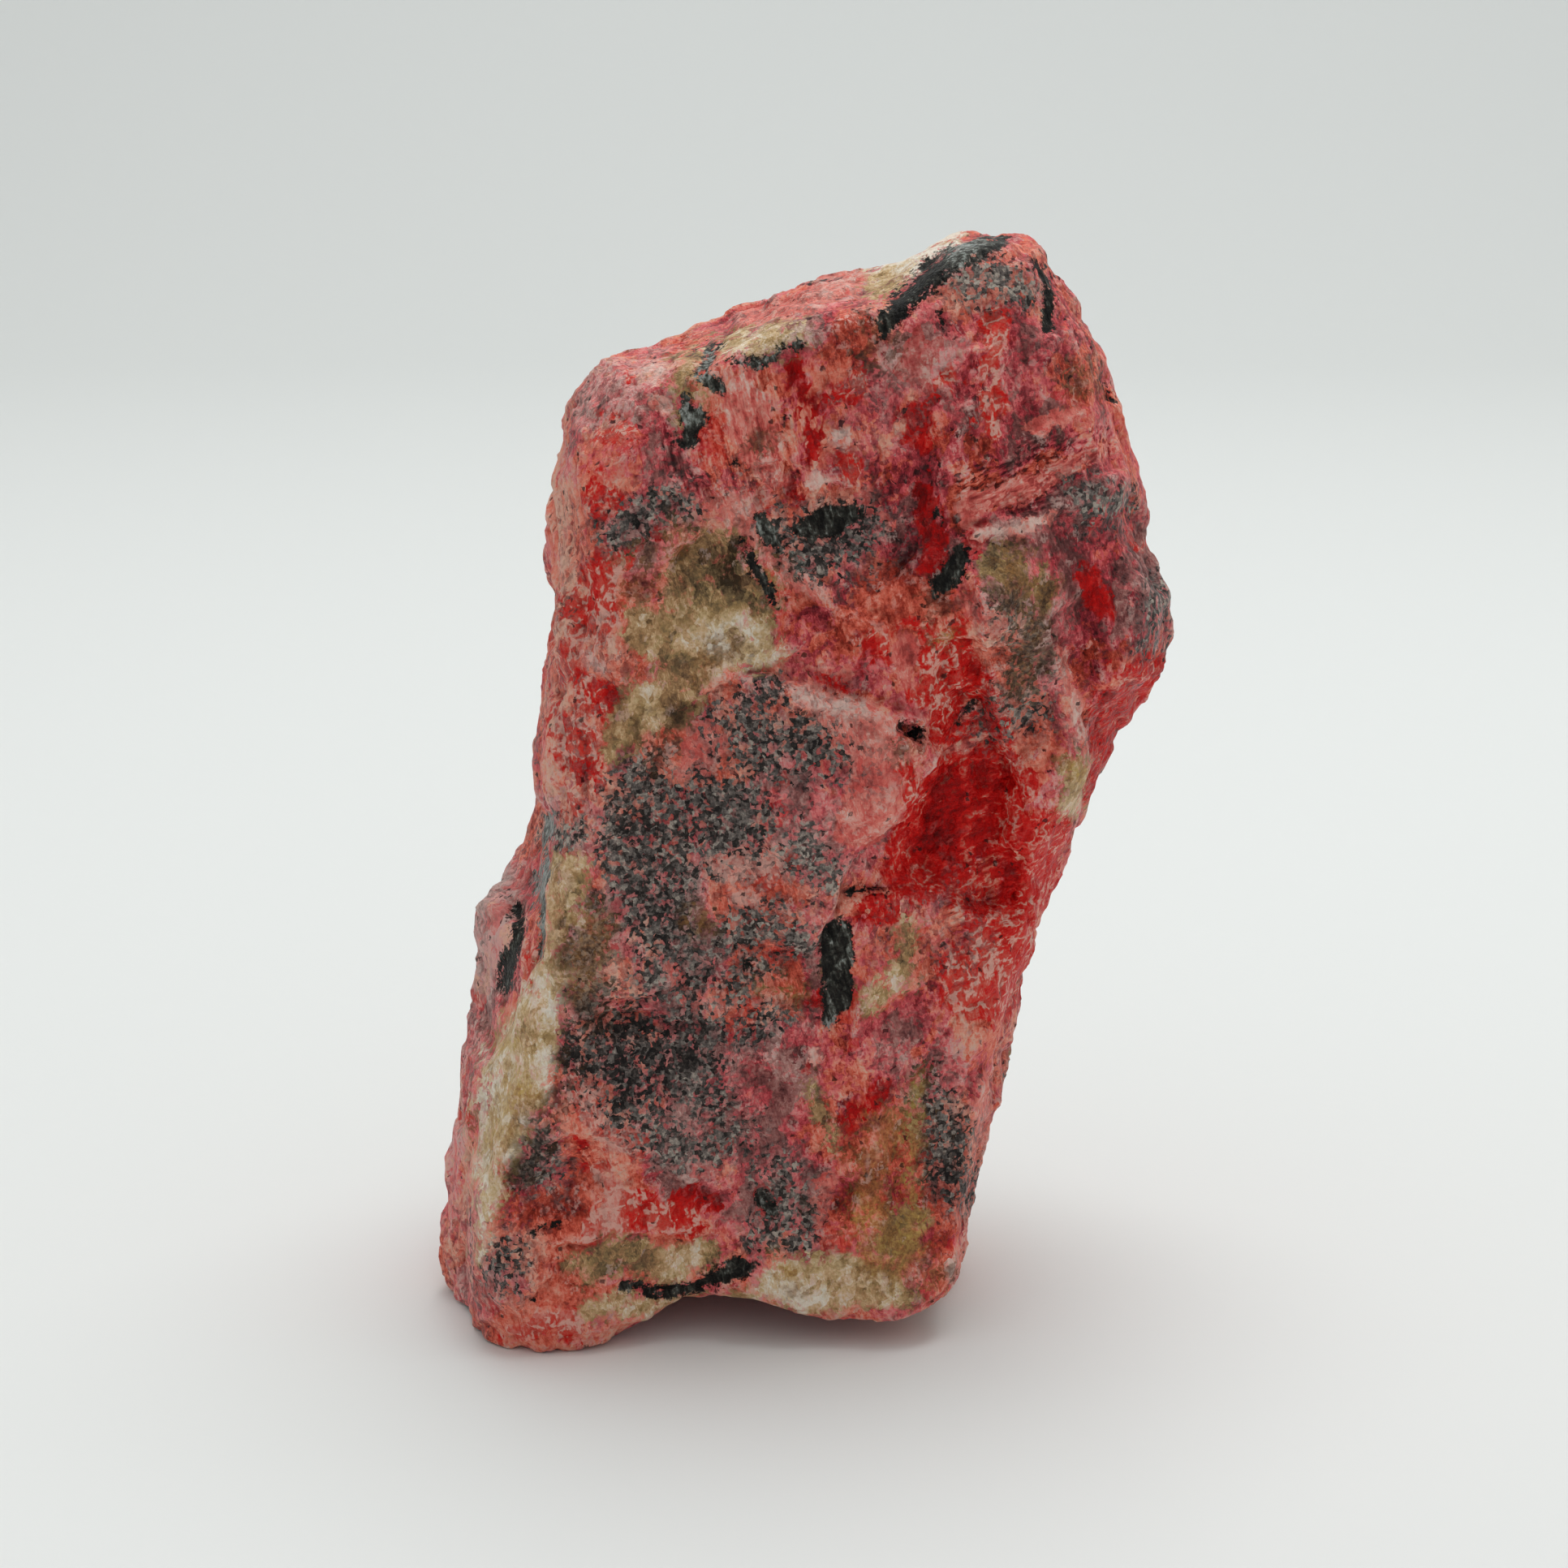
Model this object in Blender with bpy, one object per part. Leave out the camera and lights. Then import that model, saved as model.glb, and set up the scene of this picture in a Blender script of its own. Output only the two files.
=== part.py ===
"""A rhodonite specimen: one rough block of pink rhodonite, quartz and dark manganese oxide.

It stands upright on its broken foot. +Z is up and -Y is the front. The origin is at the centre
of its bounding box, on the table. All the dimensions below are in millimetres.
"""
import math
import random

import bmesh
import bpy
import numpy as np
from mathutils import Euler, Vector, noise
from mathutils.kdtree import KDTree

MM = 0.001

# The stone's vertical ridges, foot to top, each a list of (x, y, z). They run round the stone
# from its left edge over the front to the right edge, and back round behind.
RIDGES = {
    "left edge": [
        (-25.5, -3, -0.4), (-26.9, -1, 2.5), (-26.6, 0, 6), (-25.7, 1, 13), (-24.5, 1, 19),
        (-24.4, 1, 25), (-24.7, 1, 27.6), (-22.6, 2, 29.8), (-19.9, 2, 33), (-18.5, 3, 41),
        (-18.4, 3, 46), (-17.8, 3, 49.5), (-17.7, 3, 53), (-18, 3, 61.5), (-16.9, 3, 65),
        (-13.2, 3, 67.9)],
    "left front ridge": [
        (-22, -10.5, -0.4), (-23.5, -10.5, 6), (-23, -10.5, 13), (-22, -10.2, 19),
        (-20, -10, 25.5), (-18.5, -10, 29.5), (-18.2, -9, 34), (-17.5, -8, 44.5),
        (-16.8, -7, 50), (-16.3, -6, 60), (-15.5, -5, 65.5), (-13.7, -4, 68.4)],
    "front left corner": [
        (-19.3, -12.5, -0.4), (-21.5, -13.5, 7), (-20.5, -13.5, 13), (-17.5, -13.8, 22.5),
        (-15, -13.8, 29), (-14.3, -13, 34), (-15.2, -12, 42), (-14.3, -11.5, 52),
        (-13.5, -10.8, 62), (-12, -9.5, 66.5), (-10.5, -8, 68.5)],
    "front plate": [
        (-5.5, -10.6, -0.4), (-5.5, -11.4, 5), (-6, -11.8, 16), (-5.5, -12.3, 28),
        (-4.5, -12.6, 38), (-4, -12.3, 46), (-4, -11, 56), (-4.5, -10.4, 66),
        (-5.6, -9.4, 68.9)],
    "plate edge": [
        (1.6, -11.6, -0.4), (0.4, -11.6, 6), (-0.3, -11.4, 16), (1, -11.3, 29), (4, -12, 36),
        (5.5, -12.4, 42), (5, -12.2, 46), (2, -11.6, 52), (1, -10.8, 60), (0.5, -10.2, 67),
        (0.3, -9.4, 72.2)],
    "front middle": [
        (6.8, -12.2, -0.4), (6, -11.4, 8), (5.7, -10.4, 18), (6, -9.8, 29), (8.5, -10, 36),
        (9.5, -10.6, 46), (8.5, -11, 54), (7.5, -10.8, 64), (5.2, -9.2, 72.5)],
    "front right": [
        (9.9, -10.8, -0.4), (10.5, -9.8, 8), (11, -8.8, 18), (12.5, -8.3, 29), (14.5, -8.8, 40),
        (14.5, -9.8, 50), (14.5, -9.6, 60), (13.8, -8.4, 69), (12.3, -6.2, 76.9)],
    "right front ridge": [
        (10.7, -7.6, -0.4), (11.8, -6.4, 8), (12.4, -5.8, 14), (13.5, -5.8, 23), (15.5, -6, 29),
        (17.2, -6.4, 35), (19, -6.6, 42), (18.6, -7.6, 50), (19.4, -7.6, 61), (18.3, -6.6, 69.5),
        (15.2, -4, 76.8)],
    "right edge": [
        (10.6, -1, -0.4), (11.5, 0, 2), (14, 2, 10.5), (15.2, 2, 16.5), (16.2, 2, 22),
        (17.2, 2, 28), (18.8, 3, 31.5), (19.6, 3, 35), (22.2, 3, 38.7), (24, 3, 42.3),
        (25.2, 2, 46), (26.4, 1, 50), (26.3, 1, 53.5), (24, 1, 58.7), (21.2, 2, 67),
        (19.3, 2, 70.7), (17.5, 1, 74), (16.2, 0.5, 76.9)],
    "right rear": [
        (9.5, 8, -0.4), (11.5, 10, 9), (13.5, 12, 20), (16, 13, 30), (19.5, 13.5, 40),
        (21.5, 12.5, 50), (20, 11, 60), (16.5, 9.5, 69), (12.5, 8, 74.5)],
    "rear": [
        (-2, 16.5, -0.4), (-2.5, 18.5, 8), (-1, 20, 20), (1, 20, 32), (3, 19, 42),
        (4, 17.5, 52), (3.5, 15, 63), (2.5, 9.5, 73)],
    "left rear": [
        (-18, 12, -0.4), (-20, 14, 8), (-19.5, 15.5, 18), (-17.5, 16, 28), (-15, 15.5, 38),
        (-14.3, 14, 48), (-13.5, 13, 58), (-10.5, 8, 68.5)],
    "left shoulder": [
        (-24.3, 5, -0.4), (-25.5, 6.5, 8), (-24, 8.5, 18), (-22.3, 9, 27), (-19.4, 9.5, 35),
        (-18.2, 9.5, 45), (-17.4, 9, 56), (-12.8, 6.5, 67)],
}

# The crest along the top, with the ridges that meet each of its points.
CREST = {
    (-8, 4, 70.3): ["left edge", "left front ridge", "front left corner", "front plate",
                    "left rear", "left shoulder"],
    (-1, 5, 73.6): ["plate edge", "rear"],
    (5.5, 5, 75.3): ["front middle", "right rear"],
    (11.5, 3, 76.4): ["front right", "right front ridge", "right edge"],
}
ROWS = 40

# Blocks that broke away along the cleavage: centre, size, and turn about X, Y and Z in degrees.
MISSING_BLOCKS = {
    "arch under the front, left": ((-8.6, -10, -0.9), (11.6, 17, 7), (3, -3, 4)),
    "arch under the front, right": ((3.9, -10, -0.85), (15, 17, 7), (3, 1, 4)),
    "chip under the right corner": ((10.6, -10, 0), (6, 17, 7), (3, -14, 4)),
    "gap under the middle": ((-6, 2, -2), (30, 11, 6), (0, 0, 10)),
    "gap under the rear left": ((-27, 5, -1.5), (11, 8, 4), (0, 6, 20)),
    "gap under the right": ((13, 6.5, -2.4), (14, 7, 6), (4, -5, -15)),
    "gap under the rear": ((-13, 13, -2.6), (9, 8, 6), (0, 4, 24)),
    "hollow, upper step": ((12, -12.2, 45.5), (11, 5, 6), (0, 18, 14)),
    "hollow, middle step": ((11.2, -12.6, 40), (10, 7, 7), (0, 14, 16)),
    "hollow, lower step": ((9.5, -12, 34), (11, 6.5, 7), (0, 10, 17)),
    "hollow, foot": ((8.5, -11.5, 28.5), (9, 4, 6), (0, 6, 18)),
    "ledge under the hollow": ((5.5, -12, 24), (8, 4, 5), (8, 0, 16)),
    "ledge in the top": ((-5.5, -10.5, 72), (9, 9, 4.4), (14, -12, 8)),
    "chip in the right shoulder": ((22.9, -6, 73.4), (9, 12, 6), (0, 52, 10)),
    "chip in the left edge": ((-20.5, -1, 49.3), (6, 14, 2.4), (0, 0, 12)),
    "step in the right edge": ((26, -4, 34), (9, 14, 5), (0, 22, 10)),
    "slab off the rear": ((12, 21, 60), (22, 9, 26), (10, 0, -24)),
    "slab off the rear left": ((-17, 19, 50), (18, 9, 24), (-4, 0, 30)),
    "ledge in the rear": ((3, 22.5, 26), (24, 7, 9), (12, 8, -8)),
    "ledge in the rear foot": ((-14, 19, 9), (16, 7, 10), (-6, -14, 22)),
}

# Lumps that stand out: centre and the three half sizes.
LUMPS = {
    "lump on the top": ((1.6, -1, 71.5), (4.2, 5, 2.4)),
    "knob on the top right": ((12, -1.5, 74.6), (4, 5, 2)),
    "left foot": ((-17.5, -7.5, 6), (6.5, 6.5, 7)),
    "right foot": ((7.4, 0.4, 1.2), (4, 3.8, 4)),
    "right bulge": ((19.8, -2.5, 51), (4.8, 6, 6)),
    "shoulder over the hollow": ((10.5, -6.5, 54), (8.5, 5.5, 5)),
    "foot of the plate": ((-1, -8, 8), (7, 3.4, 5)),
    "lip over the arch": ((0.3, -10.2, 4), (4.4, 1.9, 2)),
    "rear knob": ((-4, 17, 34), (7, 4.6, 9)),
}

REMESH_VOXEL = 0.72
# Rounds of smoothing that wear the edges of the broken blocks, and how far each round goes.
EDGE_WEAR = 6
EDGE_PULL = 0.5
# Each layer of cleavage: spacing of its flat faces, their tilt in degrees, their step up or
# down, and how far they move the surface at most.
CLEAVAGE_LAYERS = [
    (12.0, 3.0, 0.25, 0.6),
    (5.0, 5.0, 0.14, 0.3),
]
# A face's plane lies between these two shares of its layer's step, more often in than out.
STEP_SHARES = (-2.0, 0.6)
# The box that the flat faces are strewn over, and how near the surface one has to be, as a
# share of the spacing.
SEED_BOX = [(-36, 36), (-30, 30), (-12, 90)]
NEAR_SHARE = 0.6
# The faces' borders wander: waves per spacing, their reach as a share of it, and a place in
# the noise for each axis.
WOBBLE_WAVES = 1.7
WOBBLE_REACH = 0.25
WOBBLE_SHIFTS = [Vector((0, 0, 0)), Vector((31, 7, 2)), Vector((5, 43, 19))]
# Below this cosine between a face's plane and the surface, the move grows no further.
LEAST_FACING = 0.4
# Swells over the whole surface: height, spacing, how fast their detail fades and shrinks, and
# how many sizes of it there are.
SWELL_HEIGHT = 0.35
SWELL_SPACING = 7.0
SWELL_FADE = 1.0
SWELL_SHRINK = 2.0
SWELL_SIZES = 3
CUT_TOLERANCE = 0.001
TRIANGLES = 9000
SEED = 11

STONE_PINK = (0.45, 0.13, 0.12)


def clear_scene():
    for thing in list(bpy.data.objects):
        bpy.data.objects.remove(thing, do_unlink=True)


def stone_material():
    """Rough pink rhodonite with a slight gloss."""
    material = bpy.data.materials.new("rhodonite")
    material.use_nodes = True
    shader = material.node_tree.nodes["Principled BSDF"]
    shader.inputs["Base Color"].default_value = (*STONE_PINK, 1.0)
    shader.inputs["Roughness"].default_value = 0.5
    shader.inputs["Metallic"].default_value = 0.0
    return material


def point_on_ridge(points, share):
    """The ridge's point at a share of its height, 0 at the foot and 1 at the top."""
    height = points[0][2] + share * (points[-1][2] - points[0][2])
    for low, high in zip(points, points[1:]):
        if height <= high[2]:
            part = (height - low[2]) / (high[2] - low[2])
            return Vector(low).lerp(Vector(high), part)
    return Vector(points[-1])


def rough_block():
    """The whole block: faces between neighbouring ridges, closed by the crest and the foot."""
    mesh = bmesh.new()
    columns = []
    for points in RIDGES.values():
        places = [point_on_ridge(points, row / ROWS) for row in range(ROWS + 1)]
        columns.append([mesh.verts.new(place * MM) for place in places])
    crest_of = {}
    for place, names in CREST.items():
        crest_point = mesh.verts.new(Vector(place) * MM)
        crest_of.update({name: crest_point for name in names})

    names = list(RIDGES)
    for index, column in enumerate(columns):
        after = (index + 1) % len(columns)
        beside = columns[after]
        for row in range(ROWS):
            mesh.faces.new([column[row], beside[row], beside[row + 1], column[row + 1]])
        crest, next_crest = crest_of[names[index]], crest_of[names[after]]
        mesh.faces.new([column[-1], beside[-1], crest])
        if next_crest is not crest:
            mesh.faces.new([beside[-1], next_crest, crest])
    mesh.faces.new([column[0] for column in reversed(columns)])
    bmesh.ops.triangulate(mesh, faces=mesh.faces)
    bmesh.ops.recalc_face_normals(mesh, faces=mesh.faces)

    data = bpy.data.meshes.new("rhodonite_specimen")
    mesh.to_mesh(data)
    mesh.free()
    stone = bpy.data.objects.new("rhodonite_specimen", data)
    bpy.context.collection.objects.link(stone)
    return stone


def apply_modifier(thing, kind, **settings):
    modifier = thing.modifiers.new(kind.title(), kind)
    for name, value in settings.items():
        setattr(modifier, name, value)
    bpy.context.view_layer.objects.active = thing
    bpy.ops.object.modifier_apply(modifier=modifier.name)


def cut_or_join(stone, tool, operation):
    apply_modifier(stone, "BOOLEAN", object=tool, operation=operation, solver="EXACT")
    bpy.data.objects.remove(tool, do_unlink=True)


def split_off_blocks(stone):
    for centre, size, turn in MISSING_BLOCKS.values():
        bpy.ops.mesh.primitive_cube_add(size=1.0, location=Vector(centre) * MM)
        block = bpy.context.object
        block.scale = Vector(size) * MM
        block.rotation_euler = Euler([math.radians(angle) for angle in turn])
        cut_or_join(stone, block, "DIFFERENCE")


def remesh(stone):
    """Rebuilds the skin in even faces, which also heals any fold where two faces cross."""
    apply_modifier(stone, "REMESH", mode="VOXEL", voxel_size=REMESH_VOXEL * MM)
    put_in_order(stone)


def add_lumps(stone):
    for centre, half_sizes in LUMPS.values():
        bpy.ops.mesh.primitive_ico_sphere_add(subdivisions=3, radius=1.0)
        lump = bpy.context.object
        lump.location = Vector(centre) * MM
        lump.scale = Vector(half_sizes) * MM
        cut_or_join(stone, lump, "UNION")


def surface_arrays(stone):
    """The vertices in millimetres and their normals, as arrays."""
    count = len(stone.data.vertices)
    places = np.empty(count * 3)
    normals = np.empty(count * 3)
    stone.data.vertices.foreach_get("co", places)
    stone.data.vertices.foreach_get("normal", normals)
    return places.reshape(-1, 3) / MM, normals.reshape(-1, 3)


def put_in_order(stone):
    """Sorts the vertices and faces by place, because a remesh returns them in any order."""
    places = [tuple(vertex.co) for vertex in stone.data.vertices]
    order = sorted(range(len(places)), key=places.__getitem__)
    rank = {old: new for new, old in enumerate(order)}
    faces = []
    for face in stone.data.polygons:
        corners = [rank[old] for old in face.vertices]
        first = corners.index(min(corners))
        faces.append(corners[first:] + corners[:first])
    stone.data.clear_geometry()
    stone.data.from_pydata([places[old] for old in order], [], sorted(faces))
    stone.data.update()


def move_surface(stone, places):
    stone.data.vertices.foreach_set("co", (places * MM).ravel())
    stone.data.update()


def roll_surface(stone):
    """Gentle swells over the whole surface."""
    places, normals = surface_arrays(stone)
    swells = [noise.fractal(place / SWELL_SPACING, SWELL_FADE, SWELL_SHRINK, SWELL_SIZES)
              for place in map(Vector, places)]
    move_surface(stone, places + normals * np.array(swells)[:, None] * SWELL_HEIGHT)


def spread_seeds(places, spacing, chance):
    """The centre of each flat patch: one loose point in each cell of a grid round the stone.

    Gives the surface vertices nearest to those points, and which cells they came from.
    """
    ranges = [np.arange(low, high, spacing) for low, high in SEED_BOX]
    cells = np.stack(np.meshgrid(*ranges, indexing="ij"), axis=-1).reshape(-1, 3)
    looseness = [[chance.uniform(0, spacing) for _ in range(3)] for _ in cells]
    nearest, gaps = nearest_of(cells + np.array(looseness), places)
    near = np.flatnonzero(gaps < spacing * NEAR_SHARE)
    return nearest[near], near, len(cells)


def nearest_of(points, targets):
    """For each point the index of its nearest target, and how far off that is."""
    tree = KDTree(len(targets))
    for index, target in enumerate(targets):
        tree.insert(target, index)
    tree.balance()
    found = [tree.find(point) for point in points]
    return np.array([hit[1] for hit in found]), np.array([hit[2] for hit in found])


def cleave_surface(stone, spacing, tilt, step, most, chance):
    """Flattens the patch round each seed onto a slightly tilted, slightly stepped plane."""
    places, normals = surface_arrays(stone)
    seeds, cells, count = spread_seeds(places, spacing, chance)
    tilts = [[chance.gauss(0, math.radians(tilt)) for _ in range(3)] for _ in range(count)]
    steps = np.array([chance.uniform(*STEP_SHARES) * step for _ in range(count)])
    planes = normals[seeds] + np.array(tilts)[cells]
    planes /= np.linalg.norm(planes, axis=1)[:, None]
    anchors = places[seeds] + planes * steps[cells, None]

    wobble = [[noise.noise(place * WOBBLE_WAVES / spacing + shift) for shift in WOBBLE_SHIFTS]
              for place in map(Vector, places)]
    patch, _ = nearest_of(places + np.array(wobble) * spacing * WOBBLE_REACH, places[seeds])
    height = ((anchors[patch] - places) * planes[patch]).sum(axis=1)
    facing = (normals * planes[patch]).sum(axis=1).clip(LEAST_FACING, 1.0)
    move = (height / facing).clip(-most, most)
    move_surface(stone, places + normals * move[:, None])


def drop_slivers(mesh):
    """Keeps the largest connected body of the mesh, and removes any crumb beside it."""
    unseen = set(mesh.verts)
    bodies = []
    while unseen:
        front = {unseen.pop()}
        body = set()
        while front:
            body |= front
            linked = {edge.other_vert(vertex) for vertex in front for edge in vertex.link_edges}
            front = linked & unseen
            unseen -= front
        bodies.append(body)
    bodies.sort(key=len)
    crumbs = [vertex for body in bodies[:-1] for vertex in body]
    bmesh.ops.delete(mesh, geom=crumbs, context="VERTS")


def cut_foot(stone):
    """Cuts the feet flat where they stand on the table."""
    mesh = bmesh.new()
    mesh.from_mesh(stone.data)
    everything = mesh.verts[:] + mesh.edges[:] + mesh.faces[:]
    cut = bmesh.ops.bisect_plane(mesh, geom=everything, plane_co=(0, 0, 0), plane_no=(0, 0, -1),
                                 dist=CUT_TOLERANCE * MM, clear_outer=True)
    rim = [item for item in cut["geom_cut"] if isinstance(item, bmesh.types.BMEdge)]
    bmesh.ops.holes_fill(mesh, edges=rim)
    drop_slivers(mesh)
    bmesh.ops.triangulate(mesh, faces=mesh.faces)
    bmesh.ops.recalc_face_normals(mesh, faces=mesh.faces)
    mesh.to_mesh(stone.data)
    mesh.free()


def centre_on_origin(stone):
    """Puts the middle of the bounding box over the origin, with the feet on the table."""
    places, _ = surface_arrays(stone)
    low, high = places.min(axis=0), places.max(axis=0)
    middle = (low + high) / 2
    middle[2] = low[2]
    move_surface(stone, places - middle)


def build():
    clear_scene()
    chance = random.Random(SEED)
    stone = rough_block()
    split_off_blocks(stone)
    add_lumps(stone)
    remesh(stone)
    apply_modifier(stone, "SMOOTH", factor=EDGE_PULL, iterations=EDGE_WEAR)
    roll_surface(stone)
    for spacing, tilt, step, most in CLEAVAGE_LAYERS:
        cleave_surface(stone, spacing, tilt, step, most, chance)
    remesh(stone)
    stone.data.calc_loop_triangles()
    share = TRIANGLES / len(stone.data.loop_triangles)
    apply_modifier(stone, "DECIMATE", ratio=share, use_collapse_triangulate=True)
    cut_foot(stone)
    centre_on_origin(stone)
    stone.data.materials.clear()
    stone.data.materials.append(stone_material())


build()
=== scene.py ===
import math
import random

import bpy
import numpy as np
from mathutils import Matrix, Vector, noise
from mathutils.bvhtree import BVHTree


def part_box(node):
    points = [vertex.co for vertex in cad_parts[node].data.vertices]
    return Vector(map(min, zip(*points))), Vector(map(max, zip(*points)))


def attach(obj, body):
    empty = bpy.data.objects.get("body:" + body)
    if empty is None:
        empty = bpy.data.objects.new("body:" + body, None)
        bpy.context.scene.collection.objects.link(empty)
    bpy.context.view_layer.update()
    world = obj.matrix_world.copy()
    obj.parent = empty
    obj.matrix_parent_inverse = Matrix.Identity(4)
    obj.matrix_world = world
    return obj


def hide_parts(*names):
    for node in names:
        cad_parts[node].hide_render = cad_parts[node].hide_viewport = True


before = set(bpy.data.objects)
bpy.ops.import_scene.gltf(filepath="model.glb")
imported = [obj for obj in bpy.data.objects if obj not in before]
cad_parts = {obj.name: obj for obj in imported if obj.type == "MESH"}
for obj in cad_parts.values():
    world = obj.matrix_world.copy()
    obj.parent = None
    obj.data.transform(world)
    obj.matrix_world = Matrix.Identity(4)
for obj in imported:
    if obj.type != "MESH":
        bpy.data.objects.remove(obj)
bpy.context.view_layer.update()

# Looks of a rough rhodonite specimen. The stone is one piece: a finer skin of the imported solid, with
# cleavage steps, grains and recessed blades, and one material that mixes its minerals. The minerals lie
# in patches, each a chain of discs (x, z, radius in mm) laid on an upright plane through the front of the
# stone and carried along the sight lines of the camera onto the surface. The sides that the camera can't
# see carry patches of the same minerals, placed by a seeded draw.

MM = 0.001

# Camera: a 72 mm lens on a 36 mm sensor, 15 degrees down.
CAMERA_PLACE = Vector((-1.04, -221.43, 96.73)) * MM
CAMERA_PITCH = math.radians(75)
CAMERA_LENS = 72
CAMERA_SENSOR = 36
CAMERA_CLIP = (0.01, 20.0)

# The upright plane that the patches are laid on (mm).
PATCH_PLANE_Y = -4.1
# A point deeper than this behind what the camera sees first counts as hidden (mm).
HIDDEN_DEPTH = 1.5

# Minerals that share the surface, each taking its place from the others, and the marks that lie over them.
MINERALS = ("rose", "red", "pale", "granular", "quartz", "oxide")
OVERLAYS = ("stain", "fibre", "hue")
# Tone where no patch is painted, and the distance that stands for "far from any patch" (mm).
PLAIN_TONE = {"rose": 0.56, "red": 0.4, "pale": 0.5, "granular": 0.5, "quartz": 0.5, "oxide": 0.3,
              "stain": 0.5, "fibre": 0.0, "hue": 0.5}
FAR = 9.0
# Distances are kept up to this far on either side of a patch's edge (mm).
KEPT_DISTANCE = 3.0
# The tone of a patch fades out over its edge: middle and width of the fade (mm).
TONE_FADE = (0.4, 1.4)

# Seed of every draw, and the shifts that make the noises differ from each other.
SEED = 23
FORM_SHIFTS = (51.0, 63.0)
EDGE_SHIFTS = (21.0, 33.0)
HIDDEN_SHIFTS = (71.0, 83.0, 95.0)

# How far edges wander off their discs or lines: size of the waves and their reach (mm).
FORM_WANDER = ((1.6, 0.35),)
EDGE_WANDER = ((2.4, 0.75), (0.9, 0.4))
HIDDEN_WANDER = ((6.0, 2.6), (2.2, 1.1), (0.9, 0.4))
# Thin, hard minerals keep closer to their discs.
WANDER_SHARE = {"oxide": 0.35, "pale": 0.5}

# Skin: voxel size (mm), rounds of smoothing that take the solid's facets away, and how close to each
# other the solid's loose corners are joined (mm).
SKIN_VOXEL = 0.385
SKIN_SMOOTHING = 10
JOIN_DISTANCE = 0.001

# Cleavage terraces: crystal size, step height (mm), how far the steps turn to the crystal's own plane,
# and how strongly the surface keeps to them.
TERRACES = (
    (6.5, 0.9, 0.45, 0.75),
    (2.6, 0.42, 0.6, 0.8),
)
TERRACE_SEEDS_APART = 11
# Quartz, grey rock and oxide break unevenly and lose this share of the steps; grey rock counts in part.
TERRACE_LOSS = 0.85
GRANULAR_UNEVEN = 0.75
# The heights of the steps differ by this range; afterwards they are eased (rounds, pull).
STEP_RANGE = (0.6, 1.4)
TERRACE_EASING = (1, 0.35)
# Waves that fray a crystal's border, as shares of its size, and those that fray a step (mm, share).
CRYSTAL_WAVES = (0.5, 0.10)
STEP_WAVES = (1.3, 0.12)
STEP_SHIFT = 7
# The part of a step's height where its riser begins, and the riser's width.
RISER = (0.38, 0.24)

# Cubes kept free around the grid of crystal seeds, and the least number that is divided by.
GRID_MARGIN = 2
TINY = 1e-9

# Fine relief: where it lies, wave size (mm), shift of the noise, height (mm), and how it is squeezed along z.
# What is neither quartz, grey rock nor oxide counts as cleaved.
RELIEF = (
    ("quartz", 2.6, 3.0, 0.22, 1.0),
    ("quartz", 1.1, 5.0, 0.08, 1.0),
    ("granular", 0.9, 9.0, 0.09, 1.0),
    ("cleaved", 1.0, 13.0, 0.06, 1.0),
    ("fibre", 0.7, 17.0, 0.12, 0.22),
)
# Oxide lies deeper than the rest, and relief fades in over the edge of a patch (mm).
OXIDE_DEPTH = 0.28
RELIEF_FADE = 0.8

# Rounds of smoothing that a point is compared with, to tell whether it stands out near and wide.
NEAR_ROUNDS = 4
WIDE_ROUNDS = 40

# Forms on the front that the skin stands out by or sinks to: name, height and width of the edge (mm),
# and the chain of discs (x, z, radius) on the patch plane.
FORMS = [
    ("hollow of clear crimson", -1, 1.4, [
        (12.2, 43.7, 1.5), (12.9, 38.9, 2.4), (11.5, 34.6, 3), (10.3, 33.1, 2.3),
        (14.8, 31, 2.1)]),
    ("scoop of the upper quartz", -0.7, 1.2, [(-6.5, 54.2, 2.3), (-5.7, 51.3, 3.2), (-3.7, 49.6, 2.3)]),
    ("small cleavage block", 0.35, 0.25, [(-2.2, 61.6, 0.8), (-1.7, 60.5, 0.7)]),
    ("frosted step", 0.35, 0.3, [(2.6, 63.4, 0.7), (4.4, 63.6, 0.6)]),
    ("cavity under the step", -1.3, 0.35, [(7.3, 42.7, 0.3), (8.5, 42, 0.4)]),
    ("left ridge", 0.5, 0.8, [
        (-16.7, 62.3, 0.5), (-16.3, 57.7, 0.5), (-16, 53.1, 0.5), (-17, 46, 0.5),
        (-17.5, 38.9, 0.5)]),
    ("chamfer rib", 0.45, 0.7, [
        (-16.7, 31.6, 0.8), (-17.5, 25.4, 0.8), (-18.8, 19.1, 1), (-20.6, 13.4, 1),
        (-22.4, 8.3, 0.7)]),
    ("slope below the crest", -0.5, 0.9, [
        (-11.5, 69.5, 0.8), (-7, 70.8, 1), (-4.5, 71.8, 1), (0.3, 74.1, 0.7)]),
    ("right edge, dent below the shoulder", -0.55, 0.8, [(24.1, 61.2, 0.9)]),
    ("right edge, swelling over the bulge", 1.3, 1.6, [(25.7, 54.2, 0.7), (26.1, 52.5, 0.7)]),
    ("right edge, dent in the notch", -0.55, 0.8, [(24.7, 44.7, 0.9)]),
    ("right edge, dent above the foot", -0.55, 0.8, [(15.3, 17.9, 0.8), (14.9, 15.4, 0.8)]),
    ("dent below the speckled rock", -0.5, 1, [(-13.3, 21, 1.4), (-7.9, 20.4, 1.2)]),
]

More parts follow.
